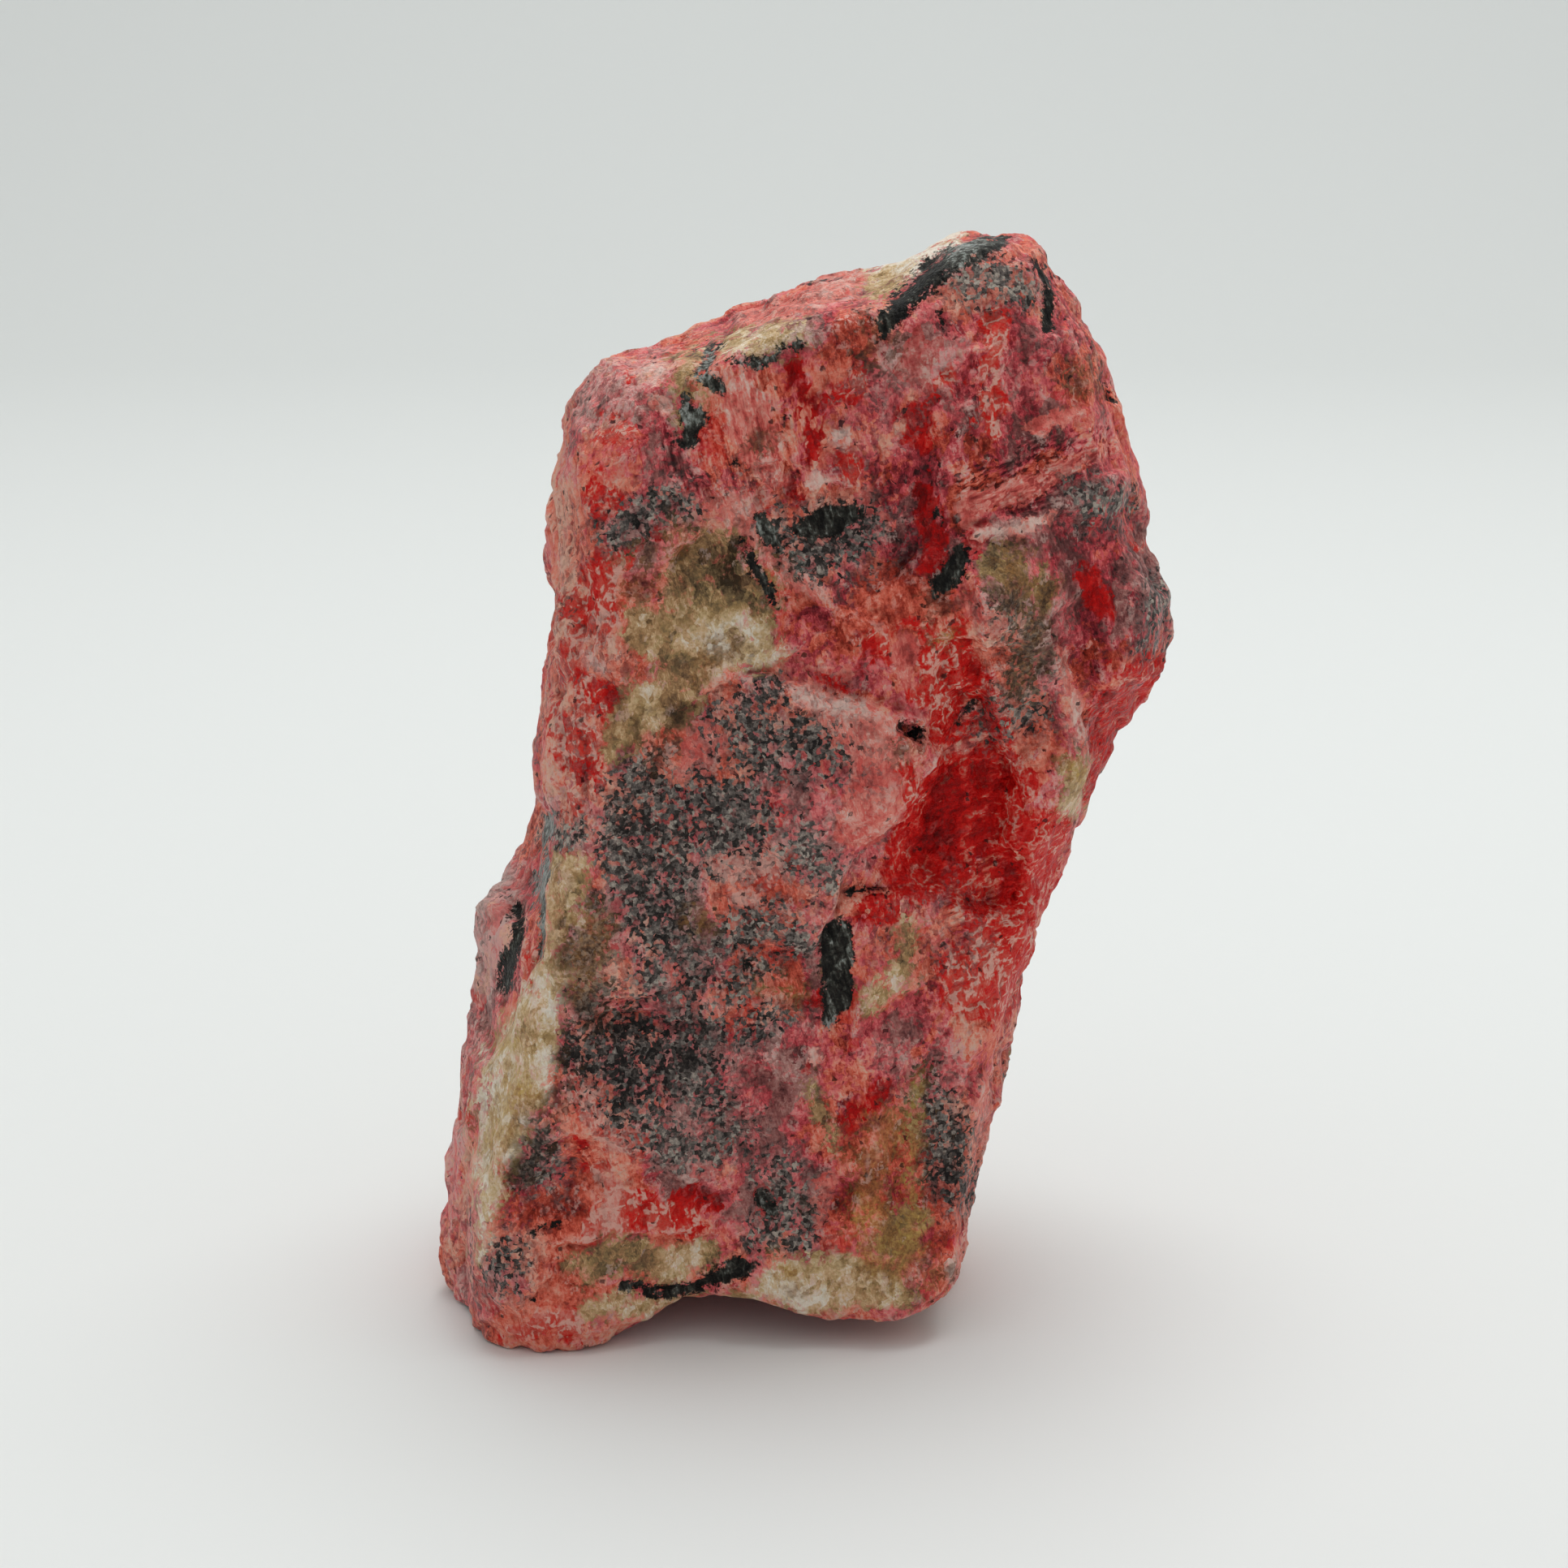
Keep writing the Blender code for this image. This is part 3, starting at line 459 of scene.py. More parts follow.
    (0.1, (10.2, 51.8, 0.9)),
    (0.3, (-10.7, 42.3, 0.8)),
    (0.66, (-6.7, 29.1, 0.6), (-7.3, 27.9, 0.5)),
    (0.66, (-2.7, 23.2, 0.5), (-0.5, 23.2, 0.5)),
    (0.62, (6.7, 12.5, 1.6), (5.5, 9.6, 1.3), (5.2, 7, 1.3)),
    (0.74, (5.4, 4.7, 1.6), (6, 2.1, 1.8), (8, 0.6, 1.5), (8.3, 3.4, 1.3)),
    (0.9, (-21.2, 18.5, 1.1)),
    (0.84, (-20.5, 15.7, 1.1), (-21.6, 13.4, 1)),
    (0.62, (2.2, 25.1, 0.2), (2.5, 22.3, 0.3)),
    (0.85, (-22.7, 12, 1), (-23, 10.2, 0.6)),
    (0.1, (-17.5, 17.3, 0.6), (-17.9, 15, 0.8), (-19, 11.8, 0.7), (-20.4, 9, 0.7)),
    (0.54, (-14.8, 28.2, 0.9), (-15.4, 24.8, 1.5), (-15.4, 22, 1.3)),
    (0.2, (-14.2, 21.7, 0.6), (-15.7, 20.4, 0.6)),
    (0.45, (9.5, 0.2, 1), (11.1, 0.4, 0.7)),
    (0.45, (19.5, 67.4, 1.1)),
    (0.4, (-2.8, 63.2, 0.4)),
    (0.8, (-0.5, 0.2, 0.7), (-1.4, 1.2, 0.5)),
    (0.9, (19.6, 39.5, 0.4)),
    (0.4, (7.6, 41.3, 0.6)),
    (0.55, (15.2, 54.2, 1), (17.5, 52.5, 0.7)),
    (0.6, (-8.5, 56.6, 0.6), (-9, 54.8, 0.5)),
    (0.3, (4.5, 70.2, 0.5), (6, 69.9, 0.5)),
    (0.55, (-4.8, 49, 0.6), (-7.2, 46.6, 0.6)),
    (0.85, (8.6, 15.7, 0.5), (8.3, 3.8, 0.6)),
]), ("fibre", [
    # long fibres in the rhodonite
    (0, (-3.1, 65.7, 2.8), (-1.4, 62.3, 2.8), (-7, 61.7, 2.6)),
    (1, (12.2, 60, 2), (16.2, 60.6, 2.3), (20.7, 62.9, 1.7)),
    (1, (11.9, 45.4, 2.3), (12.6, 39.5, 3.5), (12.7, 33.4, 4.1), (13.9, 27.9, 2.9)),
    (0.5, (13.8, 71.3, 1.7), (13.5, 67.4, 1.7)),
]), ("hue", [
    # broad changes of hue in the rose rhodonite, from mauve to salmon
    (0.26, (-9.3, 62.3, 1.9), (-5.9, 61.2, 1.9), (-3.1, 60, 1.4)),
    (0.25, (-13.8, 65.7, 1.7), (-10.9, 67.4, 1.7), (-8.7, 65.7, 1.1)),
    (0.8, (-14.5, 57.7, 2.3), (-14, 51.9, 2.3), (-15.3, 43.7, 2.3)),
    (0.85, (-3.6, 66.8, 2.8), (-3.1, 63.4, 1.9)),
    (0.2, (14.4, 69.1, 2.8), (15, 65.7, 2.5), (8.2, 69.7, 2.2)),
    (0.05, (16.7, 62.9, 2.5), (19.7, 57.1, 2.3), (23, 51.9, 2.5), (23.7, 55.4, 1.7)),
    (0.05, (14.6, 54.2, 1.7), (16, 48.4, 1.7), (16.1, 42.5, 1.5)),
    (0.02, (-4.9, 28.5, 3.5), (-1.4, 24.8, 2.6), (-3.2, 15.4, 4.2), (-6.8, 9.6, 3.6), (-1.4, 7.7, 3)),
    (0.02, (-7.9, 22.9, 2.4), (-2, 35.8, 2.6), (0.4, 38.9, 1.7)),
    (0.05, (-11.4, 55.4, 1.5), (-11.6, 57.7, 1.3)),
    (0.25, (7, 74.9, 1.7), (9.2, 75.8, 1.3), (-4.2, 69.9, 1.7)),
    (0.1, (7.7, 61.2, 1.7), (9.4, 57.1, 2.3), (7.8, 54.2, 1.7)),
    (0.32, (3.2, 53.1, 2.5), (6.1, 50.2, 2.3)),
    (0.16, (-21.1, 31.6, 1.5), (-22.3, 28.5, 2.1), (-23.4, 20.4, 1.4)),
    (0.24, (-24.3, 17.9, 1.5), (-25, 8.3, 2), (-24.2, -0.2, 1.8)),
    (0.85, (12.3, 58.8, 1.3), (17.3, 60.8, 0.8), (20.7, 62.5, 0.6)),
    (0.2, (13.4, 56.6, 1.4), (18, 57.7, 1.7), (20.9, 56.6, 1.7)),
    (0.15, (21, 51.9, 2.3), (18.7, 50.7, 1.1)),
    (0.85, (6.1, 53.1, 1.9), (10.1, 50.7, 1.5), (4.4, 49.6, 1.7)),
    (0.3, (3.9, 38.9, 2.9), (3.3, 34.6, 2.9), (-1.4, 35.2, 2.3)),
    (0.85, (-7.8, 41, 2.1), (-4.9, 40.1, 1.4)),
    (0.9, (-3.2, 30.3, 2.6), (-2, 22.9, 2), (-5, 21.7, 1.4)),
    (0.2, (-5, 12.8, 3.6), (-6.2, 9, 3), (-1.4, 7.7, 2.4)),
    (0.85, (-15.2, 13.4, 2), (-14.1, 8.3, 1.8), (-17.1, 5.1, 2.4)),
    (0.3, (11.7, 17.9, 1.8), (6.3, 18.5, 1.8)),
    (0.8, (5.8, 11.5, 2.4), (11.8, 11.5, 1.8), (11.3, 6.4, 1.8)),
    (0.35, (-22.6, 29.1, 1.8), (-22.7, 25.4, 1.4)),
    (0.4, (-24.9, 8.3, 1.8), (-25.1, 1.2, 1.8)),
    (0.85, (-20.3, -3.5, 2.4), (-17.2, -1.5, 1.5)),
    (0.85, (14.1, 49.6, 1.7), (16, 42.5, 1.7), (14.9, 38.9, 1.4)),
])]

# Minerals of the hidden sides: mineral, share of the draw, lowest and highest tone, radius range (mm).
HIDDEN_MINERALS = (
    ("rose", 0.14, 0.25, 0.85, 2.0, 5.0),
    ("hue", 0.16, 0.0, 1.0, 3.0, 7.0),
    ("quartz", 0.14, 0.2, 0.8, 1.2, 3.4),
    ("granular", 0.20, 0.3, 0.7, 1.4, 4.0),
    ("red", 0.14, 0.15, 0.7, 0.8, 2.8),
    ("pale", 0.08, 0.4, 0.8, 0.6, 1.6),
    ("oxide", 0.06, 0.1, 0.5, 0.4, 0.9),
    ("stain", 0.08, 0.3, 0.8, 1.0, 2.6),
)
# How many patches, how many balls in a chain, how steeply its first step runs, how closely it keeps to the
# surface, how much it turns at each step, and how far apart its balls lie (in radii).
HIDDEN_PATCHES = 260
CHAIN_BALLS = (1, 5)
CHAIN_STEEPNESS = 1.4
CHAIN_CLOSENESS = 0.9
CHAIN_TURN = 0.6
CHAIN_SPACING = 1.2

# Colours of each mineral from tone 0 to tone 1, as seen in plain light.
COOL_ROSE = ((0.0, "#480C16"), (0.28, "#A22E38"), (0.52, "#DA585E"), (0.75, "#EC8280"), (1.0, "#E4AAA4"))
WARM_ROSE = ((0.0, "#501610"), (0.28, "#AC3828"), (0.52, "#E26650"), (0.75, "#F0907A"), (1.0, "#EAB49E"))
DULL_ROSE = ((0.0, "#38201E"), (0.28, "#643C3A"), (0.52, "#8E605A"), (0.75, "#B0877E"), (1.0, "#D2B4AC"))
CRIMSON = ((0.0, "#780204"), (0.28, "#C00606"), (0.48, "#DA1C16"), (0.7, "#D8584A"), (1.0, "#E8AC9E"))
PALE_SEAMS = ((0.0, "#983432"), (0.35, "#DC6058"), (0.65, "#EE8E80"), (1.0, "#EECABE"))
GREY_HAZE = ((0.0, "#2E2427"), (0.5, "#6E5856"), (1.0, "#A88E88"))
SPECKLED_GREY = ((0.0, "#1C1818"), (0.3, "#38322F"), (0.55, "#5C5451"), (0.8, "#857B74"), (1.0, "#B4A89C"))
QUARTZ = ((0.0, "#3C2E1E"), (0.25, "#786246"), (0.5, "#B49262"), (0.72, "#DCBE94"), (1.0, "#F2E8D8"))
PINK_QUARTZ = ((0.0, "#46281C"), (0.25, "#82523C"), (0.5, "#BC8260"), (0.72, "#DCAC84"), (1.0, "#F2DECC"))
QUARTZ_RIM = ((0.0, "#33201A"), (0.5, "#7A5240"), (1.0, "#A97C62"))
OXIDE = ((0.0, "#0E0C0B"), (0.35, "#2A2824"), (0.6, "#4C4C46"), (0.8, "#7A7E78"), (1.0, "#A4A8A4"))
STAINS = ((0.0, "#1F150D"), (0.35, "#5B3D2A"), (0.65, "#A2703F"), (1.0, "#D0AC5A"))
# Frost on bruised edges and chips, which also stands for painted glints.
FROST_AND_GLINT = "#E4C4BA"
# Painted shade laid into the hollows.
PAINTED_HOLLOW_SHADE = "#6A3E3A"
SPECK = "#1A1211"

# Cloudy patterns: the space they are drawn in, size (mm), detail and roughness. Real grit in such rock goes
# below 0.1 mm; it is drawn at 0.28 mm so that it still shows when the whole stone is in view.
CLOUDY = (
    ("grit", "straight", 0.28, 2.0, 0.7),
    ("mottle", "frayed", 1.8, 3.0, 0.65),
    ("cloud", "straight", 5.5, 1.0, 0.5),
)
# Broken pieces: the space they are drawn in and their size (mm). The grains of the grey rock are finer;
# they are drawn at 0.32 mm for the same reason.
BROKEN = (
    ("crystal", "blocks", 2.4),
    ("chip", "blocks", 0.8),
    ("grain", "frayed", 0.32),
)
# The wander that frays what is drawn on it: size (mm), detail, roughness, and how far it carries each kind.
WANDER_MM = 0.9
WANDER_LOOK = (2.0, 0.6)
FRAYED, BARELY_FRAYED, NET_FRAYED = 0.8, 0.3, 0.45
# The crystals break into leaning blocks.
BLOCK_TURN = (math.radians(12), math.radians(24), math.radians(33))
BLOCK_SHAPE = (0.8, 0.9, 1.3)
# The seams that net the crimson: their slope and the shape of the meshes (mm).
NET_TURN = (0, math.radians(-20), 0)
NET_MM = (2.0, 1.1, 1.0)
# Strokes are the traces of the cleavage: lean in degrees, where the noise is read, and how long, wide and
# deep they are (mm). Fibres run longer and finer.
STROKES = (
    ("upright stroke", 75.0, 0.0, (1.8, 0.36, 0.36)),
    ("slanting stroke", -20.0, 40.0, (1.8, 0.36, 0.36)),
    ("long fibre", 77.0, 80.0, (6.0, 0.3, 0.3)),
)
STROKE_LOOK = (2.0, 0.65)

# Where a pattern begins to count and where it counts in full, and what it then runs from and to where
# that isn't 0 and 1.
SPANS = {
    "fibrous": (0.8, -0.8),
    "streak": (0.035, 0.005),
    "streaked place": (0.42, 0.56),
    # bruise: ridges paler and hollows darker, partly bruised edges, partly painted light and shade over the
    # relief.
    "bruise_and_relief_light": (-0.5, 0.5, -0.5, 0.5),
    "contrast": (0.4, 0.6, 0.35, 1.1),
    "warm": (0.4, 0.56),
    "dull": (0.28, 0.08, 0.0, 0.85),
    "net": (0.13, 0.02),
    "netted place": (-0.12, 0.06),
    "clouded": (0.15, 0.5),
    "speck": (0.6, 0.4),
    # edge frost: frosted edges, partly painted glints on them.
    "edge frost": (0.03, 0.16),
    "ragged": (0.4, 0.6),
    # hollow: how much painted shade darkens the hollows.
    "hollow": (-0.02, -0.2, 0.0, 0.6),
    "roughness": (0.35, 0.65, 0.34, 0.62),
}

# Patterns and how much they count in the tone of rose cells, in its hue, in fibres, and in where the
# crimson is netted and the frost with its painted glints ragged.
CELL_TONES = {"crystal a": 0.26, "chip b": 0.22, "grain c": 0.26}
HUE_PATTERNS = {"crystal c": 0.4, "cloud": 0.6, "mottle": 0.8, "grain b": 0.25}
FIBRE_TONES = {"fibre line": 1.8}
NET_PLACES = {"stroke": 1.0, "mottle": 1.0}
RAGGED_FROST_AND_GLINT = {"stroke": 1.5, "grit": 1.5}

# The rose rhodonite lies under all else. A mineral's tone is moved about its middle by some patterns and
# raised by others. Its own colours may be tinted: colours, the pattern that tints, and how far.
# The bruise pattern raises the tone on ridges and lowers it in hollows: partly bruised edges, partly painted
# light and shade.
ROSE = dict(field="rose", colours=COOL_ROSE, tints=((WARM_ROSE, "warm", 1.0), (DULL_ROSE, "dull", 1.0)),
            moved={"stroke": 0.6, "mottle": 0.6, "grit": 0.6, "cloud": 0.3},
            raised={"cells": 1.0, "streak": 0.16, "fibres": 1.0, "bruise_and_relief_light": 0.3})
# The others in the order they are laid: softness of the edge and patterns that push it (mm), how far they
# reach past their patches (mm), and how much they hide. A plain tone stands for the patches' own.
# Where they take the bruise pattern, it too paints light on ridges and shade in hollows.
LAYERS = (
    dict(name="red", field="red", colours=CRIMSON, strewn="strewn crystals",
         moved={"mottle": 0.55, "stroke": 0.35, "chip b": 0.16, "grit": 0.45},
         raised={"net": 0.55, "streak": 0.1, "bruise_and_relief_light": 0.1},
         softness=0.25, pushed={"mottle": 1.8, "crystal a": 0.6, "chip a": 0.8, "stroke": 0.8}),
    dict(name="pale", field="pale", colours=PALE_SEAMS,
         moved={"stroke": 0.7, "mottle": 0.6, "chip b": 0.24, "grit": 0.4},
         raised={"streak": 0.25, "fibres": 0.9, "bruise_and_relief_light": 0.3},
         softness=0.15, pushed={"chip a": 0.7, "mottle": 1.5, "grit": 0.8}),
    # Grey rock: grains of quartz, rhodonite and oxide, which thin out into the pink around it.
    dict(name="haze", field="granular", colours=GREY_HAZE, plain_tone=0.5,
         moved={"grit": 1.4, "stroke": 0.8, "grain b": 0.5},
         softness=1.8, pushed={"mottle": 3.0, "grain c": 2.5}, reach=0.7, hides=0.8),
    dict(name="granular", field="granular", colours=SPECKLED_GREY,
         moved={"grain b": 0.75, "grit": 1.2, "mottle": 0.6, "stroke": 0.3}, raised={"bruise_and_relief_light": 0.2},
         softness=0.35, pushed={"grit": 2.0, "mottle": 1.4, "grain c": 2.4}),
    # Quartz: cloudy, with a browned border.
    dict(name="rim", field="quartz", colours=QUARTZ_RIM, plain_tone=0.5,
         moved={"grit": 1.5, "mottle": 2.0},
         softness=0.7, pushed={"mottle": 4.0, "chip a": 0.9}, hides=0.4),
    dict(name="quartz", field="quartz", colours=QUARTZ, tints=((PINK_QUARTZ, "warm", 0.35),),
         moved={"mottle": 0.6, "grit": 0.5, "stroke": 0.4, "cloud": 0.3, "chip b": 0.3, "grain b": 0.14},
         raised={"streak": 0.2},
         softness=0.4, pushed={"mottle": 1.8, "grit": 1.2, "chip a": 0.7, "grain c": 0.8}),
    dict(name="stain", field="stain", colours=STAINS,
         moved={"mottle": 0.9, "grit": 0.9},
         softness=0.9, pushed={"mottle": 5.0, "grain c": 1.5}, hides=0.7),
    dict(name="oxide", field="oxide", colours=OXIDE,
         moved={"stroke": 2.0, "grit": 0.9, "chip b": 0.4},
         softness=0.12, pushed={"chip a": 0.5, "grit": 1.2}),
)
# Single crystals of crimson strewn through the rose, and single frosted chips that also carry painted
# glints: the draw above which one is chosen, and how strongly it then shows.
STREWN_DRAW, STREWN_SHOWS = 0.95, 0.5
CHIP_DRAW, CHIP_SHOWS = 0.95, 0.6
# Share of the grains that are specks of oxide, and how strongly they show where there is no quartz.
SPECK_SHARE = 0.012
SPECK_SHOWS = 0.8
FROST_AND_GLINT_STRENGTH = 0.55
# Oxide takes no frost or painted glints; these take less of them than the rose by the given share.
LESS_FROST_AND_GLINT = {"granular": 0.7, "red": 0.8}

# Relief too fine for the mesh: how steeply the chips tilt, how high the grit stands, and their unit (mm).
CHIP_TILT = 0.55
GRIT_HEIGHT = 0.2
BUMP_MM = 1.0

# Rhodonite's refractive index is 1.72 to 1.74; the quartz among it has 1.55.
RHODONITE_IOR = 1.68
# Rough breaks scatter most of the surface shine.
SHINE = 0.08
# Light sinks in a little way: its share, and how far red, green and blue go (mm).
SINKING_LIGHT = 0.1
SINKING_MM = (1.0, 0.35, 0.3)
SHARP_ANGLE = math.radians(35)

# The pale sweep that the stone stands on (m), its colour and its roughness.
SWEEP_WIDTH = 32.0
SWEEP_FRONT = 16.0
SWEEP_BACK = 0.74
SWEEP_HEIGHT = 1.2
SWEEP_TURN = 0.22
SWEEP_STEPS = 24
SWEEP_COLOUR = "#EBEDEC"
SWEEP_ROUGHNESS = 0.85
# Tooth of the paper: waves per metre, height (mm) and strength.
TOOTH_SCALE = 900.0
TOOTH_MM = 0.05
TOOTH_STRENGTH = 0.3

# Light of the room: dimmer walls, a bright ceiling.
ROOM_WALLS = "#A2A5A4"
ROOM_CEILING = "#F8FAF8"
ROOM_LIGHT = 0.72
# The soft box: place, the point it faces, size (m) and power (W).
BOX_PLACE = (0.08, 0.12, 0.70)
BOX_TARGET = (0, 0.02, 0.03)
BOX_SIZE = 0.5
BOX_POWER = 2.7


def linear(hex_colour):
    """The linear RGBA of an sRGB hex colour."""
    channels = [int(hex_colour[i:i + 2], 16) / 255 for i in (1, 3, 5)]
    return [c / 12.92 if c <= 0.04045 else ((c + 0.055) / 1.055) ** 2.4 for c in channels] + [1.0]


def make_active(piece):
    bpy.ops.object.select_all(action="DESELECT")
    piece.select_set(True)
    bpy.context.view_layer.objects.active = piece


def in_mesh(rows, name, width, kind=np.float32):
    """One property of each vertex or edge, a row each."""
    flat = np.empty(len(rows) * width, kind)
    rows.foreach_get(name, flat)
    return flat.reshape(-1, width)


def points_of(mesh):
    """Vertex places in millimetres, one row each."""
    return in_mesh(mesh.vertices, "co", 3).astype(float) / MM


def normals_of(mesh):
    return in_mesh(mesh.vertex_normals, "vector", 3).astype(float)


def edges_of(mesh):
    return in_mesh(mesh.edges, "vertices", 2, np.int32)


def move_points(mesh, points):
    """Put the vertices in their new places, and give back the new normals."""
    mesh.vertices.foreach_set("co", (points * MM).astype(np.float32).ravel())
    mesh.update()
    return normals_of(mesh)


def smoothed(values, edges, rounds, pull=0.5):
    """Each value drawn towards the mean of its neighbours, a few times."""
    count = len(values)
    neighbours = np.bincount(edges.ravel(), minlength=count).astype(float)
    for _ in range(rounds):
        total = np.zeros_like(values)
        for axis in range(values.shape[1]):
            ends = values[edges[:, 1], axis], values[edges[:, 0], axis]
            total[:, axis] = (np.bincount(edges[:, 0], ends[0], count)
                              + np.bincount(edges[:, 1], ends[1], count))
        values = values + (total / neighbours[:, None] - values) * pull
    return values


def rough(points, size, shift):
    """Blender's smooth noise at each point, from about -1 to 1, with lumps of the given size in mm."""
    offset = Vector((shift, -shift, 0.5 * shift))
    return np.array([noise.noise(Vector(p) / size + offset) for p in points])


def wandering(points, waves, shifts):
    """A wander of each point with one column per shift: waves are pairs of size and reach in mm."""
    return sum(np.column_stack([rough(points, size, shift) for shift in shifts]) * reach
               for size, reach in waves)


def skin_of_stone():
    """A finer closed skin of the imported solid."""
    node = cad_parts["rhodonite_specimen"]
    skin = bpy.data.objects.new("rhodonite_stone", node.data.copy())
    bpy.context.scene.collection.objects.link(skin)
    skin.data.materials.clear()
    make_active(skin)
    bpy.ops.object.mode_set(mode="EDIT")
    bpy.ops.mesh.select_all(action="SELECT")
    bpy.ops.mesh.remove_doubles(threshold=JOIN_DISTANCE * MM)
    bpy.ops.object.mode_set(mode="OBJECT")
    remesh = skin.modifiers.new("Remesh", "REMESH")
    remesh.mode = "VOXEL"
    remesh.voxel_size = SKIN_VOXEL * MM
    bpy.ops.object.modifier_apply(modifier=remesh.name)
    return skin


def depth_behind_sight(mesh, points):
    """How far each point lies behind what the camera sees first along the same line, in mm."""
    tree = BVHTree.FromPolygons([v.co for v in mesh.vertices], [p.vertices for p in mesh.polygons])
    depth = np.zeros(len(points))
    for i, place in enumerate(points):
        line = Vector(place) * MM - CAMERA_PLACE
        reach = line.length
        hit = tree.ray_cast(CAMERA_PLACE, line / reach)
        depth[i] = max(0.0, reach - hit[3]) / MM if hit[3] else 0.0
    return depth


def on_patch_plane(points):
    """Where the sight line of each point crosses the patch plane: x and z in mm."""
    eye = np.array(CAMERA_PLACE) / MM
    share = (PATCH_PLANE_Y - eye[1]) / (points[:, 1] - eye[1])
    return np.column_stack([eye[axis] + (points[:, axis] - eye[axis]) * share for axis in (0, 2)])


def nearest_on(places, start, end):
    """How far along a line each place lies, from 0 to 1, and the way from the line to the place."""
    along = end - start
    share = np.clip((places - start) @ along / max(along @ along, TINY), 0.0, 1.0)
    return share, places - start - share[:, None] * along


def distance_to_chain(places, discs):
    """Signed distance in mm from each place to a chain of discs or balls: negative inside."""
    discs = np.array(discs, float)
    centres, radii = discs[:, :-1], discs[:, -1]
    if len(discs) == 1:
        return np.linalg.norm(places - centres[0], axis=1) - radii[0]
    best = np.full(len(places), np.inf)
    for i in range(len(discs) - 1):
        share, away = nearest_on(places, centres[i], centres[i + 1])
        gap = np.linalg.norm(away, axis=1)
        best = np.minimum(best, gap - (radii[i] + share * (radii[i + 1] - radii[i])))
    return best


def ledge_rise(places, line, reach):
    """From 0 to 1: the rise towards a broken edge on its left side, and none beyond the edge."""
    line = np.array(line, float)
    nearest = np.full(len(places), np.inf)
    side = np.zeros(len(places))
    for start, end in zip(line[:-1], line[1:]):
        away = nearest_on(places, start, end)[1]
        gap = np.linalg.norm(away, axis=1)
        along = end - start
        left = np.array((-along[1], along[0])) / np.linalg.norm(along)
        closer = gap < nearest
        nearest = np.where(closer, gap, nearest)
        side = np.where(closer, away @ left, side)
    rise = np.clip(0.5 + side / LEDGE_DROP, 0.0, 1.0)
    return rise * np.exp(-(nearest / reach) ** 2)


def paint(minerals, mineral, tone, distance):
    """Lay one patch over what is there: it takes its place from the other minerals."""
    if mineral in MINERALS:
        for other in MINERALS:
            if other != mineral:
                minerals[other][0] = np.maximum(minerals[other][0], -distance)
    field = minerals[mineral]
    field[0] = np.minimum(field[0], distance)
    cover = np.clip(0.5 - (distance - TONE_FADE[0]) / TONE_FADE[1], 0.0, 1.0)
    field[1] = field[1] * (1.0 - cover) + tone * cover


def distance_in_view(plane, hidden, discs):
    """Signed distance to a chain of discs laid on the front; what lies hidden is further away."""
    flat = distance_to_chain(plane, discs)
    return np.where(flat > 0, np.hypot(flat, hidden), np.maximum(flat, hidden - 0.5 * HIDDEN_DEPTH))


def front_forms(points, hidden):
    """How far each point stands out for the forms on the front, in mm."""
    plane = on_patch_plane(points) + wandering(points, FORM_WANDER, FORM_SHIFTS)
    out = np.zeros(len(points))
    for _, height, edge, discs in FORMS:
        distance = distance_in_view(plane, hidden, discs)
        share = np.clip(0.5 - distance / edge, 0.0, 1.0)
        out += height * share * share * (3.0 - 2.0 * share)
    in_view = np.exp(-hidden)
    for _, height, reach, line in LEDGES:
        out += height * ledge_rise(plane, line, reach) * in_view
    return out


def mineral_fields(points, normals, hidden):
    """For each mineral, every point's distance to its nearest patch and that patch's tone."""
    minerals = {name: [np.full(len(points), FAR), np.full(len(points), tone)]
                for name, tone in PLAIN_TONE.items()}
    paint_hidden_sides(minerals, points, normals, hidden)
    plane = on_patch_plane(points)
    wander = wandering(points, EDGE_WANDER, EDGE_SHIFTS)
    for mineral, patches in PATCHES:
        places = plane + wander * WANDER_SHARE.get(mineral, 1.0)
        for tone, *discs in patches:
            paint(minerals, mineral, tone, distance_in_view(places, hidden, discs))
    return minerals


def paint_hidden_sides(minerals, points, normals, hidden):
    """Seeded chains of balls that wander over the sides that the camera can't see."""
    draw = random.Random(SEED)
    low, high = points.min(axis=0), points.max(axis=0)
    shares = [row[1] for row in HIDDEN_MINERALS]
    places = points + wandering(points, HIDDEN_WANDER, HIDDEN_SHIFTS)
    for _ in range(HIDDEN_PATCHES):
        mineral, _, tone_low, tone_high, small, large = draw.choices(HIDDEN_MINERALS, shares)[0]
        place = np.array([draw.uniform(a, b) for a, b in zip(low, high)])
        step = np.array([draw.gauss(0, spread) for spread in (1, 1, CHAIN_STEEPNESS)])
        step /= np.linalg.norm(step)
        discs = []
        for _ in range(draw.randint(*CHAIN_BALLS)):
            nearest = np.argmin(((points - place) ** 2).sum(axis=1))
            place, normal = points[nearest], normals[nearest]
            radius = draw.uniform(small, large)
            discs.append([*place, radius])
            step = step - normal * (step @ normal) * CHAIN_CLOSENESS
            turn = np.array([draw.gauss(0, CHAIN_TURN) for _ in range(3)])
            step = step / np.linalg.norm(step) + turn
            place = place + step * radius * CHAIN_SPACING
        distance = np.maximum(distance_to_chain(places, discs), HIDDEN_DEPTH - hidden)
        paint(minerals, mineral, draw.uniform(tone_low, tone_high), distance)


